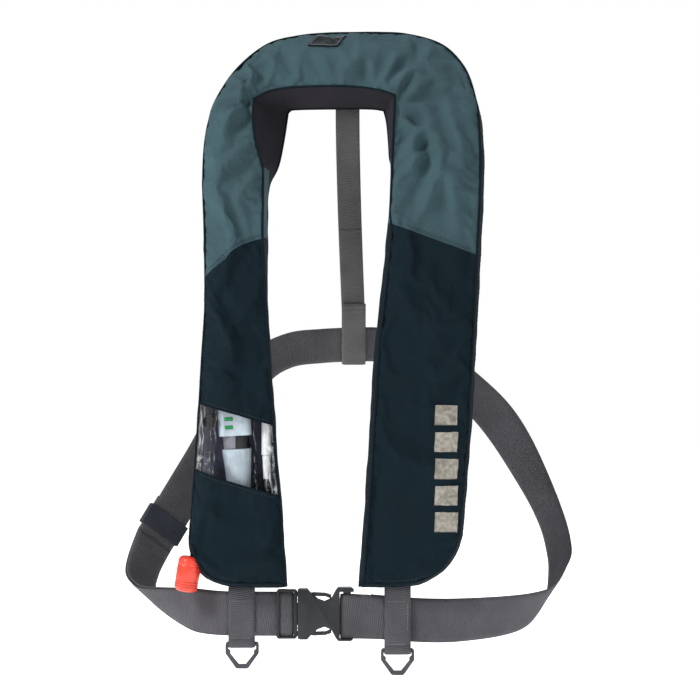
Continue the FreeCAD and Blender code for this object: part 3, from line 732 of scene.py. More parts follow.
def settle(grid, low, high):
    """Let the stuffed front take up its slack: cloth pinned along the seams."""
    part = grid[low:high + 1]
    r, c = part.shape[:2]
    me = bpy.data.meshes.new("settle")
    me.from_pydata((part.reshape(-1, 3) * MM).tolist(), [], quads(r, c))
    ob = placed("settle", me)
    held = ob.vertex_groups.new(name="held")
    rim = [i * c + j for i in range(r) for j in range(c)
           if i in (0, r - 1) or j in (0, c - 1)]
    held.add(rim, 1.0, "REPLACE")
    mod = ob.modifiers.new("cloth", "CLOTH")
    s = mod.settings
    s.quality = 6
    s.mass = 0.2
    s.tension_stiffness = s.compression_stiffness = 18
    s.shear_stiffness = 6
    s.bending_stiffness = 0.35
    s.vertex_group_mass = "held"
    s.shrink_min = -0.035
    s.use_pressure = True
    s.uniform_pressure_force = 3.0
    s.effector_weights.gravity = 0
    mod.point_cache.frame_start, mod.point_cache.frame_end = 1, SETTLE_FRAMES
    for f in range(1, SETTLE_FRAMES + 1):
        scene.frame_set(f)
    dg = bpy.context.evaluated_depsgraph_get()
    moved = np.array([v.co for v in ob.evaluated_get(dg).data.vertices]) / MM
    bpy.data.objects.remove(ob)
    scene.frame_set(1)
    shift = moved.reshape(r, c, 3) - part
    size = np.linalg.norm(shift, axis=2, keepdims=True)
    shift = shift * np.minimum(1, SETTLE_LIMIT / np.maximum(size, 1e-6))
    out = grid.copy()
    out[low:high + 1] += shift
    return out


front = settle(front, 0, row_of["window_low"])
front = settle(front, row_of["window_top"], R - 1)

# The side wall, from the front seam (0) to the back seam (last column).
G = 17
w_cols = np.linspace(0, 1, G)
belly = np.abs(2 * w_cols - 1) ** 2.4
side_xz = between(loop_front, loop_back, w_cols)
side_in = between(in_front, in_back, w_cols)
side_depth = seam_depth[:, None] * (1 - w_cols) + (THICK - SEAM_DEPTH) * w_cols
side_inset = np.where(w_cols < 0.5, inset_front[:, None], inset_back[:, None]) * belly
probe_s = laid(side_xz, side_depth)
ripple = 0.8 * wobble(probe_s, 17, 4.4) * (1 - belly)[None, :]
side_xz = side_xz + side_in * (side_inset - ripple)[:, :, None]
side = laid(side_xz, side_depth)
side_uv = np.stack(np.broadcast_arrays(arc_lengths(loop_front)[:, None] / UV_MM,
                                       (w_cols * THICK / UV_MM)[None, :]), axis=-1)


def side_part(which, c0, c1):
    """Some rows of the side wall, from one column to another, with their UV."""
    return side[which][:, c0:c1 + 1], side_uv[which][:, c0:c1 + 1]


MID = G // 2
wl, wt = row_of["window_low"], row_of["window_top"]
sr, sl = row_of["seam_right"], row_of["seam_left"]
lr, ll = row_of["lining_right"], row_of["lining_left"]
uv_front, uv_back = front_xz / UV_MM, back_xz / UV_MM


def front_rows(a, b):
    return front[a:b + 1], uv_front[a:b + 1]


foot_r = np.concatenate([INNER[:1], RIGHT_FOOT, OUTER[:1]])
foot_l = np.concatenate([OUTER[-1:], LEFT_FOOT, INNER[-1:]])
right_grids = [front_rows(0, wl), front_rows(wt, sr), side_part(foot_r, 0, MID),
               side_part(OUTER[:sr + 1], 0, MID), side_part(INNER[:sr + 1], 0, MID)]
left_grids = [front_rows(sl, R - 1), side_part(foot_l, 0, MID),
              side_part(OUTER[sl:], 0, MID), side_part(INNER[sl:], 0, MID)]
upper_grids = [front_rows(sr, sl),
               side_part(INNER[sr:lr + 1], 0, MID), side_part(INNER[ll:sl + 1], 0, MID)]
back_grids = [(back, uv_back), side_part(foot_r, MID, G - 1), side_part(foot_l, MID, G - 1),
              side_part(OUTER, MID, G - 1), side_part(OUTER[sr:sl + 1], 0, MID),
              side_part(INNER[:lr + 1], MID, G - 1),
              side_part(INNER[ll:], MID, G - 1)]
lining_grids = [side_part(INNER[lr:ll + 1], 0, G - 1)]
cover_right = piece("front_panel_right", right_grids, navy,
                    ["cover_front_right"])
cover_left = piece("front_panel_left", left_grids, navy,
                   ["cover_front_left"])
cover_upper = piece("front_panel_upper", upper_grids, teal,
                    ["cover_front_upper"])
cover_rear = piece("back_panel", back_grids, navy_back, ["cover_back"])
neck = piece("neck_lining_cloth", lining_grids, lining_cloth,
             ["neck_lining"])

# Piping along the front and back seams.
outward = (side[:, 0] - side[:, 3]) * np.array([1, 0, 1])
outward /= np.linalg.norm(outward, axis=1)[:, None] + 1e-6
piping_line = side[:, 0] + outward * 0.35 - np.array([0, 0.5, 0])
front_seam_line = np.concatenate([piping_line, piping_line[:1]])
back_seam_line = np.concatenate([side[:, -1], side[:1, -1]])
piece("seam_piping", [tube_grid(front_seam_line, 1.35), tube_grid(back_seam_line, 1.2)],
      piping_cloth, ["edge_piping"])
# Closure coil along the middle of the outer wall and round both feet.
ZIP_PITCH = 5.6
pouch_middle = np.array([-10.0, 0, -200.0])
outer_run = np.concatenate([RIGHT_FOOT, OUTER, LEFT_FOOT])
coil_line = side[outer_run, MID]
pulse = 0.8 + 0.1 * np.sin(arc_lengths(coil_line) * 2 * math.pi / ZIP_PITCH)
wall = side[outer_run, MID + 1] - side[outer_run, MID - 1]
outward = unit(np.cross(np.gradient(coil_line, axis=0), wall))
outward *= np.sign(((coil_line - pouch_middle) * outward).sum(1).mean())
tape = side[outer_run][:, MID - 2:MID + 3] + outward[:, None, :] * 0.25
piece("closure_coil", [tube_grid(coil_line + outward * 0.35, pulse, 6),
                       (tape, side_uv[outer_run][:, MID - 2:MID + 3])],
      zip_coil, ["closure_zip"])


# ---- things on the front
front_tree = BVHTree.FromPolygons([Vector(p) for p in front.reshape(-1, 3)], quads(R, C))


def skin(x, z, lift=0.0):
    """The point on the front panel at x and z, lifted off it."""
    target = at(x, z, 0.0)
    deeper = unit(at(x, z, 1.0) - target)
    hit, normal = front_tree.ray_cast(Vector(target - deeper * 40), Vector(deeper))[:2]
    if hit is None:
        hit, normal = front_tree.find_nearest(Vector(target))[:2]
    outward = np.array(normal)
    if outward @ deeper > 0:
        outward = -outward
    return np.array(hit) + outward * lift


def plain_uv(grid):
    """An empty UV map for a grid that shows no pattern."""
    return np.zeros(grid.shape[:2] + (2,))


def patch(corners_xz, lift, across, down):
    """A small sheet laid on the front panel, its corners in x and z."""
    a, b, c, d = (np.array(p, float) for p in corners_xz)
    out = np.zeros((down, across, 3))
    for i, s in enumerate(np.linspace(0, 1, down)):
        for j, t in enumerate(np.linspace(0, 1, across)):
            x, z = (a * (1 - t) + b * t) * (1 - s) + (d * (1 - t) + c * t) * s
            out[i, j] = skin(x, z, lift)
    uv = np.stack(np.meshgrid(np.linspace(0, np.linalg.norm(b - a) / UV_MM, across),
                              np.linspace(0, np.linalg.norm(d - a) / UV_MM, down)), axis=-1)
    return out, uv


def slab(corners_xz, thick, across, down):
    """A patch with a rim down to the panel."""
    top, uv = patch(corners_xz, thick, across, down)
    low, _ = patch(corners_xz, -0.3, across, down)
    rim_top = np.concatenate([top[0], top[1:, -1], top[-1, ::-1][1:], top[::-1, 0][1:]])
    rim_low = np.concatenate([low[0], low[1:, -1], low[-1, ::-1][1:], low[::-1, 0][1:]])
    rim = np.stack([rim_low, rim_top], axis=1)
    rim_uv = plain_uv(rim)
    rim_uv[:, :, 0] = arc_lengths(rim_top)[:, None] / UV_MM
    rim_uv[:, 1, 1] = thick / UV_MM
    return [(top, uv), (rim, rim_uv)]


badge = [(-27, 84), (3, 84), (-6, 66), (-36, 66)]
badge_in = [(-25.6, 82.6), (1.2, 82.6), (-6.8, 67.4), (-34, 67.4)]
piece("collar_patch", slab(badge, 1.5, 26, 14), badge_rubber, ["collar_badge"])
edge = []
for a, b in zip(badge_in, badge_in[1:] + badge_in[:1]):
    edge += [skin(a[0] + (b[0] - a[0]) * t, a[1] + (b[1] - a[1]) * t, 1.6)
             for t in np.linspace(0, 1, 16)[:-1]]
piece("collar_patch_rim", [tube_grid(edge + edge[:1], 0.25, 6)], thread_grey)

BAR_TOP, BAR_STEP, BAR_HIGH = -299, 27, 20
bars = []
for n in range(5):
    z = BAR_TOP - n * BAR_STEP
    low_z = z - BAR_HIGH
    bars += slab([(93, z), (116, z), (115, low_z), (92, low_z)], 0.8, 18, 16)
piece("reflective_blocks", bars, print_finish.mat, ["reflective_bars"])


def skin_line(points, lift, steps):
    """A smooth line on the front panel through points given in x and z."""
    line = smooth_path([(x, 0, z) for x, z in points], steps)
    return np.array([skin(p[0], p[2], lift) for p in line])


def row_line(row, offset, v0=0.04, v1=0.96, lift=0.1):
    """A line across the front panel, offset along the pouch from a row."""
    xz = front_xz[row]
    keep = (v_cols >= v0) & (v_cols <= v1)
    along = unit(front_xz[min(row + 3, R - 1)] - front_xz[max(row - 3, 0)])
    pts = (xz + along * offset)[keep]
    return np.array([skin(x, z, lift) for x, z in pts])


face = (0, -1, 0)
stitches = stitch_grids(row_line(sr, 3.2), face) + stitch_grids(row_line(sl, -3.2), face)
piece("seam_stitches", stitches, thread)
HEM_INSET, HEM_LEVEL = 3.5, -470
hem = [(x, z + HEM_INSET) for x, z in seam_front[LEFT_FOOT[::4]] if z < HEM_LEVEL]
low = stitch_grids(row_line(wt, 2.6), face) + stitch_grids(row_line(wl, -2.6), face)
low += stitch_grids(skin_line(hem, 0.1, 4), face)
piece("hem_stitches", low, thread)
for row, off, cloth, slot in ((sr, 0.0, teal, "teal_fabric"), (sl, 0.0, teal, "teal_fabric"),
                              (wt, 0.2, piping_cloth, "navy_piping"),
                              (wl, -0.2, piping_cloth, "navy_piping")):
    line = row_line(row, off, 0.0, 1.0, 0.25)
    piece("seam_fold_%d" % row, [tube_grid(line, 0.8, 6)], cloth)

# Clear window between the two navy parts, wrinkled along its sides.
film_xz = front_xz[wl:wt + 1]
fine_r, fine_c = 64, 90
u = np.linspace(0, film_xz.shape[0] - 1, fine_r)
v = np.linspace(0, C - 1, fine_c)


def resample(grid):
    """The window's part of a grid, on its own finer rows and columns."""
    i = np.clip(u.astype(int), 0, grid.shape[0] - 2)
    j = np.clip(v.astype(int), 0, grid.shape[1] - 2)
    fi, fj = (u - i)[:, None, None], (v - j)[None, :, None]
    g00, g01 = grid[i][:, j], grid[i][:, j + 1]
    g10, g11 = grid[i + 1][:, j], grid[i + 1][:, j + 1]
    return (g00 * (1 - fj) + g01 * fj) * (1 - fi) + (g10 * (1 - fj) + g11 * fj) * fi


film_base = resample(front[wl:wt + 1])
film_flat = resample(film_xz)
vv = np.broadcast_to(np.linspace(0, 1, fine_c)[None, :], (fine_r, fine_c))
uu = np.broadcast_to(np.linspace(0, 1, fine_r)[:, None], (fine_r, fine_c))
probe_f = with_depth(film_flat)
drift = wobble(probe_f * np.array([0.6, 1, 1]), 26, 1.7)
# Long wrinkles: place across the window, half width, height in mm.
wrinkles = [(0.03, 0.018, 2.2), (0.085, 0.014, 2.0), (0.135, 0.012, 2.6), (0.26, 0.006, 0.6),
            (0.77, 0.007, 0.8), (0.82, 0.006, 0.6), (0.93, 0.009, 1.2), (0.972, 0.014, 2.6)]
relief = np.zeros((fine_r, fine_c))
# shine is a painted highlight: white glints painted along the wrinkles and, below, in patches at the
# sides.
shine = np.zeros((fine_r, fine_c))
for where, wide, high in wrinkles:
    d = np.abs(vv - where - 0.022 * drift - 0.008 * np.sin(uu * 21 + where * 40))
    ridge = np.exp(-(d / wide) ** 1.5)
    patchy = np.clip(0.55 + 1.1 * wobble(probe_f, 11, where * 31), 0, 1)
    relief += high * ridge
    shine += min(high, 1.6) * 0.62 * np.exp(-(d / (wide * 0.55)) ** 2) * patchy
rough_side = np.clip(np.abs(vv - 0.5) * 2 - 0.62, 0, 1) * 2.4
relief += rough_side * 1.4 * np.abs(wobble(probe_f, 7, 9.0))
# Painted glints in patches along the sides of the window.
glints = np.clip(3.2 * np.abs(wobble(probe_f, 6, 4.4)) - 0.9, 0, 1)
shine += glints * np.clip((0.13 - vv) / 0.05, 0, 1) * 0.8
shine += glints * np.clip((vv - 0.80) / 0.08, 0, 1) * np.clip((0.26 - uu) / 0.1, 0, 1) * 0.8
rim_fade = np.clip(np.minimum(np.minimum(uu, 1 - uu) * 9, np.minimum(vv, 1 - vv) * 14), 0, 1)
film_points = film_base.copy()
film_points[:, :, 1] -= (relief * 0.9 + 0.5) * rim_fade - 0.6 * (1 - rim_fade)
window = piece("window_sheet", [(film_points, film_flat / UV_MM)], film,
               ["window_film"], weld=0.001)
# The painted glints are stored on the sheet for its material to paint white.
layer = window.data.attributes.new("painted_glint", "FLOAT", "POINT")
if len(window.data.vertices) == fine_r * fine_c:
    layer.data.foreach_set("value", np.clip(shine * rim_fade, 0, 1).astype(np.float32).ravel())


# ---- bladder
def rising(x, edge, soft):
    """From 0 to 1 past an edge, or back down where soft is negative."""
    return 1 / (1 + np.exp((edge - x) / soft))


BLADDER_FRONT, BLADDER_BEHIND = 13.0, 34
BLADDER_REAR_GAP, BLADDER_PULL_IN = 4.5, 0.10


def bladder_depth(x, z):
    """Front of the folded bladder: pushed back where the inflator sits."""
    inside = rising(x, -66, -2.0) * rising(x, -156, 2.0) * rising(z, -284, -3.0) * rising(z, -404, 3.0)
    fold = np.exp(-((x + 141 + (z + 360) * 0.32) / 13) ** 2) * rising(z, -326, -4.0)
    rear = BLADDER_BEHIND - 14 * fold
    pleat = 1.6 * np.sin((x * 0.8 + z * 0.5) / 4.6) + 1.2 * np.sin((x * 0.3 - z) / 9.0)
    return BLADDER_FRONT * (1 - inside) + inside * (rear + pleat)


def drawn_in(xz):
    return xz + (xz.mean(axis=1, keepdims=True) - xz) * BLADDER_PULL_IN


bag_xz = drawn_in(front_xz)
bag_depth = np.maximum(bladder_depth(bag_xz[:, :, 0], bag_xz[:, :, 1]), depth_front + 9)
trim = slice(3, R - 3)
bag_front = laid(bag_xz, bag_depth)[trim]
bag_back = laid(drawn_in(back_xz), THICK - BLADDER_REAR_GAP)[trim]
rims = [np.stack([a, b], axis=1)
        for a, b in ((bag_front[:, 0], bag_back[:, 0]), (bag_front[:, -1], bag_back[:, -1]),
                     (bag_front[0], bag_back[0]), (bag_front[-1], bag_back[-1]))]
bag_grids = [(bag_front, uv_front[trim]), (bag_back, uv_back[trim])] + [(g, plain_uv(g)) for g in rims]
bladder = piece("bladder_cloth", bag_grids, bladder_cloth, ["bladder"])


# ---- webbing
def band_grids(centres, widths, width, thick, offset=0.0, uv_start=0.0, wave=0.35, seed=0.0):
    """Webbing: a thin closed section with rounded edges, carried along a line."""
    c = np.array(centres, float)
    w = np.array(widths, float)
    t = unit(np.gradient(c, axis=0))
    w = unit(w - t * (w * t).sum(1)[:, None])
    n = np.cross(t, w)
    columns = 10
    across = np.linspace(-1, 1, columns)
    half_w, half_t = width / 2, thick / 2
    round_part = half_t / half_w
    into_round = (np.abs(across) - (1 - round_part)).clip(0)
    edge = np.sqrt(np.clip(1 - into_round ** 2 / round_part ** 2, 0, 1))
    top = np.stack([across * half_w, half_t * (0.35 + 0.65 * edge)], axis=1)
    low = np.stack([across[::-1] * half_w, -half_t * (0.35 + 0.65 * edge[::-1])], axis=1)
    ring = np.concatenate([top, low, top[:1]])
    line = c[:, None, :] + w[:, None, :] * ring[None, :, :1]
    swell = wave * wobble(line, 34, seed)
    points = line + n[:, None, :] * (ring[None, :, 1:] + offset + swell[:, :, None])
    s = arc_lengths(c) / UV_MM + uv_start
    around = np.concatenate([top[:, 0], low[:, 0], top[:1, 0]]) / UV_MM
    uv = np.stack(np.broadcast_arrays(s[:, None], around[None, :]), axis=-1)
    caps = []
    for k in (0, -1):
        a, b = points[k, :columns], points[k, columns:2 * columns][::-1]
        cap = np.stack([a, b], axis=1)
        caps.append((cap, plain_uv(cap)))
    return [(points, uv)] + caps


def stations(keys, steps=8):
    """Smooth the given stations of a strap: centre and width direction."""
    c = smooth_path([k[0] for k in keys], steps)
    w = smooth_path([unit(k[1]) for k in keys], steps)
    return c, w


# Stations of the belt from the socket round the back to the plug: a point of
# the centre line, and the direction of the belt's width there.
belt_left = [((26, 0, -514.5), (0, 0, 1)), ((60, 0, -517.5), (0, 0, 1)),
             ((90, 0, -519), (0, 0, 1)), ((119, 3, -519), (0, -0.1, 1)),
             ((160, 14, -517), (0, -0.33, 0.94)), ((191, 31, -513), (0.13, -0.5, 0.86)),
             ((211, 50, -504), (0.2, -0.75, 0.63)), ((225, 72, -484), (0.3, -0.87, 0.39)),
             ((230, 95, -456), (0.46, -0.88, 0.12)), ((217, 121, -407), (0.55, -0.8, 0.24))]
belt_rear = [((178, 146, -333), (0.7, -0.51, 0.5)),
             ((139, 158, -288), (0.64, -0.53, 0.56)), ((88, 167, -251), (0.35, -0.55, 0.76)),
             ((45, 171, -237.5), (0.05, -0.57, 0.82)), ((11, 172, -236.5), (0, -0.57, 0.82)),
             ((-24, 171, -238), (-0.05, -0.57, 0.82)), ((-60, 168, -243), (-0.12, -0.56, 0.82)),
             ((-92, 161, -262), (-0.35, -0.52, 0.75)), ((-122, 150, -306), (-0.6, -0.46, 0.66)),
             ((-151, 136, -360), (-0.7, -0.42, 0.57)), ((-181, 118, -411), (-0.7, -0.42, 0.57)),
             ((-197.1, 108.3, -438.5), (-0.7, -0.42, 0.57)), ((-202, 105.4, -446.7), (-0.7, -0.42, 0.57))]
belt_right = [((-211, 90, -469), (-0.65, -0.7, 0.3)),
              ((-213, 72, -486), (-0.5, -0.83, 0.25)), ((-205, 52, -498), (-0.3, -0.85, 0.42)),
              ((-187, 38, -504), (-0.15, -0.72, 0.66))]
belt_plug = [((-163, 23, -508.5), (-0.05, -0.40, 0.9)), ((-150, 15.6, -510.2), (-0.02, -0.12, 0.99)),
             ((-137, 8, -511.2), (0, 0, 1)), ((-126, 2.8, -511.5), (0, 0, 1)),
             ((-117, 0, -511.6), (0, 0, 1)), ((-98, 0, -511.8), (0, 0, 1)), ((-66, 0, -512), (0, 0, 1))]
STEPS = 10
belt_keys = belt_left + belt_rear + belt_right + belt_plug
belt_c, belt_w = stations(belt_keys, STEPS)
i_left = (len(belt_left) - 1) * STEPS
i_rear = i_left + len(belt_rear) * STEPS
i_right = i_rear + len(belt_right) * STEPS
BELT, WEB = 45.0, 2.0
belt_s = arc_lengths(belt_c) / UV_MM
INNER_LAYER, OUTER_LAYER = (-1.3, 2.0), (1.3, 5.0)  # offset from the centre line, and seed


def along_belt(a, b, layer, wave=0.35):
    """One layer of the belt between two of its points."""
    offset, seed = layer
    return band_grids(belt_c[a:b + 1], belt_w[a:b + 1], BELT, WEB, offset, belt_s[a], wave, seed)


def folded_end(path_xy, z, z_slope=0.0):
    """A turn of webbing round an upright bar, its path in X and Y."""
    line = smooth_path([(x, y, z + z_slope * x) for x, y in path_xy], 6)
    return band_grids(line, [(0, 0, 1)] * len(line), BELT, WEB, 0.0, wave=0.12)


# The front left end turns round the socket's bar and is sewn back on itself.
turn_left = [(50, -1.0), (38, -1.1), (24, -1.2), (14, -2.6), (7, -3.9), (1, -3.9), (-2.1, -2.2),
             (-2.1, 2.2), (1, 3.9), (7, 3.9), (14, 2.9), (26, 1.3)]
left_grids = along_belt(0, i_left, INNER_LAYER, 0.5) + folded_end(turn_left, -514.3, -0.03)
piece("waist_belt_left", left_grids, webbing, ["belt_front_left"])
# The rear run uses the darker webbing copy: painted shade.
rear_grids = along_belt(i_left, i_rear, INNER_LAYER)
piece("waist_belt_rear", rear_grids, webbing_painted_shade, ["belt_back"])
tail_grids = along_belt(i_rear - 2 * STEPS, i_rear, OUTER_LAYER)
piece("waist_belt_tail", tail_grids, webbing, ["belt_tail"])
side_grids = along_belt(i_rear, i_right, INNER_LAYER) + along_belt(i_rear, i_right, OUTER_LAYER)
side_right = piece("waist_belt_side", side_grids, webbing, ["belt_side_right"], body=None)
turn_plug = [(-67, 1.3), (-64.5, 2.4), (-61.5, 3.5), (-57, 3.6), (-53, 3.3), (-51.4, 1.5),
             (-51.4, -1.5), (-53, -3.3), (-57, -3.6), (-61.5, -3.5), (-64.5, -2.4), (-67, -1.3)]
i_end = len(belt_c) - 1
plug_grids = along_belt(i_right, i_end, INNER_LAYER) + along_belt(i_right, i_end, OUTER_LAYER)
piece("waist_belt_plug_end", plug_grids + folded_end(turn_plug, -512), webbing,
      ["belt_front_right"], body="plug")


# Tabs that hang the belt and the D-rings under the lobes.
def tab(name, node, x, z_bar):
    """A strip doubled over the belt and round the bar of a D-ring."""
    wide, thick, top = 27.0, 1.6, -483.0
    loop = [(-0.9, top), (-2.6, top - 3), (-3.7, -489), (-3.9, -497), (-3.7, -512), (-3.9, -530),
            (-3.1, z_bar + 9), (-1.7, z_bar + 5.6), (-3.0, z_bar + 2.6), (-3.5, z_bar),
            (-2.5, z_bar - 2.6), (0, z_bar - 3.6), (2.5, z_bar - 2.6), (3.5, z_bar),
            (3.0, z_bar + 2.6), (1.7, z_bar + 5.6), (3.1, z_bar + 9), (3.9, -530), (3.7, -512),
            (3.9, -497), (3.6, -489), (2.6, top - 3), (0.9, top)]
    line = smooth_path([(x, y, z) for y, z in loop], 4)
    grids = band_grids(line, [(1, 0, 0)] * len(line), wide, thick, wave=0.15, seed=x)
    piece(name, grids, webbing, [node])
    runs = [[(x - 11 + k * 2.2, y, z) for k in range(11)]
            for y, z in ((-4.85, -498.5), (-2.8, z_bar + 6.2))]
    if x > 0:
        runs.append([(x + 10.4, -4.95, -500 - k * 3) for k in range(11)])
    sewn = [g for run in runs for g in stitch_grids(run, face, 2.2, 1.0, 0.36, 0.1)]
    piece(name + "_stitches", sewn, thread_grey)


tab("belt_tab_right", "tab_right", -103.5, -542.6)
tab("belt_tab_left", "tab_left", 55.5, -549.4)

# Back strap from the collar to the belt, and its loop.
strap = [((4.5, 71.6, 32.4), (1, 0, 0)), ((4.5, 61.1, 16.2), (1, 0, 0)), ((4.5, 57.5, 3), (1, 0, 0)),
         ((4.6, 61, -12), (1, 0, 0)), ((5, 73, -38), (1, 0, 0)), ((6.5, 98, -95), (1, 0, 0)),
         ((8.5, 121, -150), (1, 0, 0)), ((10, 137, -187), (1, 0, 0)), ((10.8, 149, -206.5), (1, 0, 0))]
strap_c, strap_w = stations(strap)
piece("back_strap_webbing", band_grids(strap_c, strap_w, 25.0, 2.0, wave=0.3, seed=9.0), strap_webbing,
      ["back_strap"])
i_loop = i_left + 5 * STEPS
c0 = belt_c[i_loop]
up = unit(belt_w[i_loop])
tan = unit(belt_c[i_loop + 1] - belt_c[i_loop - 1])
out_dir = np.cross(tan, up)
half = BELT / 2
loop_path = [(-4.0, half + 33), (-4.4, half + 6), (-4.5, 4), (-4.5, -half + 2), (-3.6, -half - 1.6),
             (-1.4, -half - 2.2), (0.8, -half - 1.6), (1.7, -half + 2), (1.7, 4), (1.7, half + 6),
             (0.9, half + 22)]
loop_line = smooth_path([c0 + out_dir * a + up * b for a, b in loop_path], 6)
loop_grids = band_grids(loop_line, [(1, 0, 0)] * len(loop_line), 26.0, 1.8, wave=0.15, seed=4.0)
piece("back_strap_end", loop_grids, strap_webbing, ["back_strap_loop"])


def strap_point(z, dx, lift):
    """A point on the strap's rear face at a height, dx from its middle."""
    k = np.argmin(np.abs(strap_c[:, 2] - z))
    t = unit(strap_c[k + 1] - strap_c[k - 1])
    normal = np.cross(t, (1, 0, 0))
    normal *= -np.sign(normal[1])
    f = (z - strap_c[k][2]) / t[2]
    return strap_c[k] + t * f + np.array([dx, 0, 0]) + normal * lift


SEAM_Z, ROW_HEIGHTS = -115, (51.5, 46.0)
seam_across = [strap_point(SEAM_Z, d, 1.0) for d in np.linspace(-12, 12, 9)]
piece("back_strap_seam", [tube_grid(seam_across, 0.5)], strap_webbing)
sewn = []
for b in ROW_HEIGHTS:
    row = [c0 + up * b - out_dir * 5.2 + np.array([d, 0, 0]) for d in np.linspace(-11, 11, 10)]
    sewn += stitch_grids(row, -out_dir, 2.2, 0.8, 0.36, 0.1)
piece("back_strap_stitches", sewn, thread_grey)


# ---- hard parts
def refined(node, name, material, slot, bevel, crisp=30):
    """The node's own shape with its edges eased, for close views."""
    me = nodes[node].data.copy()
    me.materials.clear()
    me.materials.append(material)
    cleaned(me, 2e-6, math.radians(1.0))
    ob = placed(name, me)
    mod = ob.modifiers.new("ease", "BEVEL")
    mod.width = bevel * MM
    mod.segments = 3
    mod.limit_method = "ANGLE"
    mod.angle_limit = math.radians(crisp)
    mod.use_clamp_overlap = True
    mod.harden_normals = True
    finishing(ob, body_of[node], [node])


def refine_all(table):
    """Rows of node, last word of the name, material, slot, bevel in mm, sharp angle."""
    for node, word, *how in table:
        refined(node, node + "_" + word, *how)


refine_all([
    ("buckle_socket", "shell", dark_plastic, "dark_plastic", 1.1),
    ("buckle_plug", "shell", dark_plastic, "dark_plastic", 0.7),
    ("buckle_arm_upper", "shell", dark_plastic, "dark_plastic", 0.6),
    ("buckle_arm_lower", "shell", dark_plastic, "dark_plastic", 0.6),
    ("d_ring_right", "shell", ring_plastic, "dark_plastic", 0.9),
    ("d_ring_left", "shell", ring_plastic, "dark_plastic", 0.9),
    ("pull_handle", "grip", red_plastic, "red_plastic", 0.3, 40),
    ("whistle", "body", orange_plastic, "orange_plastic", 0.6),
    ("belt_keeper", "sleeve", elastic, "keeper_elastic", 0.8),
])

# The keeper's sewn box, on its outer face.
keeper_at = np.array((-191.8, 111.5, -429.4))
keeper_run = np.array((-0.4853, -0.2912, -0.825))
keeper_up = np.array((-0.7, -0.42, 0.57))
keeper_up = unit(keeper_up - keeper_run * (keeper_up @ keeper_run))
keeper_out = np.cross(keeper_run, keeper_up)
keeper_out *= -np.sign(keeper_out[1])
KEEPER_FACE = 4.3
box_corners = [keeper_at + keeper_run * a + keeper_up * b + keeper_out * KEEPER_FACE
               for a, b in ((-8, -23), (8, -23), (8, -13), (-8, -13), (-8, -23))]
sewn = []
for a, b in zip(box_corners, box_corners[1:]):
    run = [a + (b - a) * t for t in np.linspace(0, 1, 8)]
    sewn += stitch_grids(run, keeper_out, 2.0, 0.9, 0.3, 0.1)
piece("belt_keeper_stitches", sewn, thread_dark, body="keeper")

refine_all([
    ("inflator_head", "shell", silver, "silver_plastic", 1.2),
    ("inflator_cap", "shell", silver, "silver_plastic", 0.9),
    ("inflator_band", "ring", band.mat, "band_plastic", 0.3),
    ("manifold_nut", "knob", black_plastic, "black_plastic", 0.8),
    ("inflator_manifold", "plate", black_plastic, "black_plastic", 0.6),
    ("firing_lever", "arm", black_plastic, "black_plastic", 0.4),
    ("oral_tube", "body", white_plastic, "white_plastic", 0.3),
    ("oral_tube_cap", "cover", white_plastic, "white_plastic", 0.5),
])
for node, material in (("status_indicators", green.mat), ("gas_cylinder", steel),
                       ("pull_lanyard", cord_dark), ("oral_valve", hose_rubber),
                       ("oral_tube_hose", hose_rubber)):
    ob = nodes[node]
    ob.data.materials.clear()
    ob.data.materials.append(material)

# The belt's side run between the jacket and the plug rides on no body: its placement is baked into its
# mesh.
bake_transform(side_right)

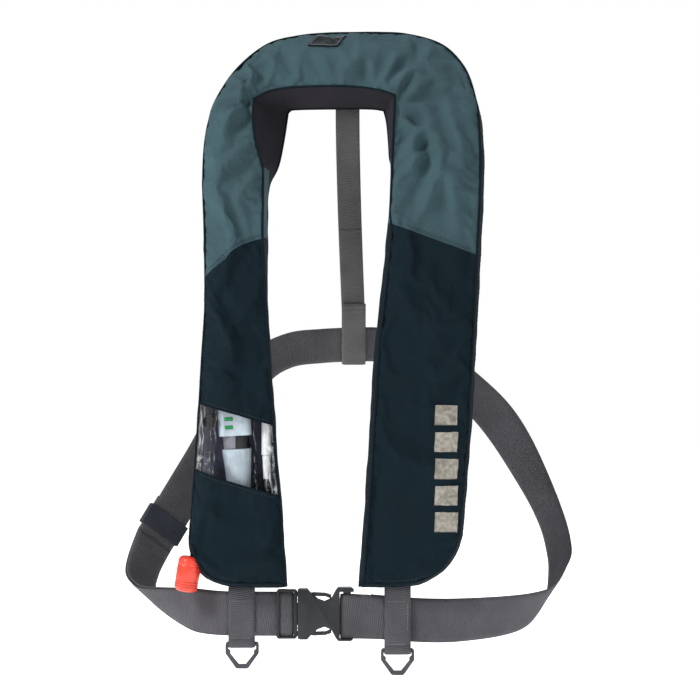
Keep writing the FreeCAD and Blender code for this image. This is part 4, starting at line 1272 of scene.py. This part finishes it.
# ---- stage, light and camera
low_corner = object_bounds()[0]
floor_me = bpy.data.meshes.new("floor")
ring = 48
angles = np.linspace(0, 2 * math.pi, ring, endpoint=False)
verts = [(0, 0, 0)]
for rad in (0.6, 1.6, 6.0):
    verts += [(rad * math.cos(a), rad * math.sin(a), 0) for a in angles]
faces = [(0, 1 + k, 1 + (k + 1) % ring) for k in range(ring)]
for b in range(2):
    a0, b0 = 1 + b * ring, 1 + (b + 1) * ring
    faces += [(a0 + k, b0 + k, b0 + (k + 1) % ring, a0 + (k + 1) % ring) for k in range(ring)]
floor_me.from_pydata(verts, [], faces)
floor = placed("floor", floor_me)
floor.location = (0, 0.05, low_corner.z - 0.002)
pale = Finish("pale_floor", (250, 250, 250), 0.9)
pale.tint(pale.mottle(0.4, 2.0), (246, 246, 246), 0.4, 0.7)
fill(pale.shader, Emission_Color=(1, 1, 1, 1), Emission_Strength=0.86)
floor_me.materials.append(pale.mat)

world = bpy.data.worlds.new("studio")
world.use_nodes = True
tree = world.node_tree
soft = fill(tree.nodes["Background"], Color=(0.93, 0.96, 1, 1), Strength=0.2)
plain = fill(tree.nodes.new("ShaderNodeBackground"), Color=(1, 1, 1, 1), Strength=1.0)
rays = tree.nodes.new("ShaderNodeLightPath")
both = tree.nodes.new("ShaderNodeMixShader")
tree.links.new(rays.outputs["Is Camera Ray"], both.inputs["Fac"])
tree.links.new(soft.outputs["Background"], both.inputs[1])
tree.links.new(plain.outputs["Background"], both.inputs[2])
tree.links.new(both.outputs["Shader"], tree.nodes["World Output"].inputs["Surface"])
scene.world = world
scene.view_settings.view_transform = "Standard"


def area_light(name, place, target, size, power):
    data = bpy.data.lights.new(name, "AREA")
    data.shape = "RECTANGLE"
    data.size, data.size_y = size
    data.energy = power
    ob = placed(name, data)
    ob.location = place
    ob.rotation_euler = (Vector(target) - Vector(place)).to_track_quat("-Z", "Y").to_euler()


area_light("key", (-1.5, -1.0, 0.9), (0, 0, -0.2), (0.6, 0.6), 35)
area_light("fill", (1.5, -1.5, 0.1), (0, 0, -0.25), (1.0, 1.2), 5)
area_light("top", (0.3, 0.1, 1.6), (0, 0.05, -0.1), (0.9, 0.6), 12)
area_light("rear", (0.4, 1.8, 0.6), (0, 0, -0.2), (1.2, 1.2), 12)

cam_data = bpy.data.cameras.new("camera")
cam_data.sensor_width = 36
cam_data.lens = 121.0
cam = placed("camera", cam_data)
cam.location = (0.007, -2.4, -0.243)
cam.rotation_euler = (math.radians(90), 0, 0)
scene.camera = cam
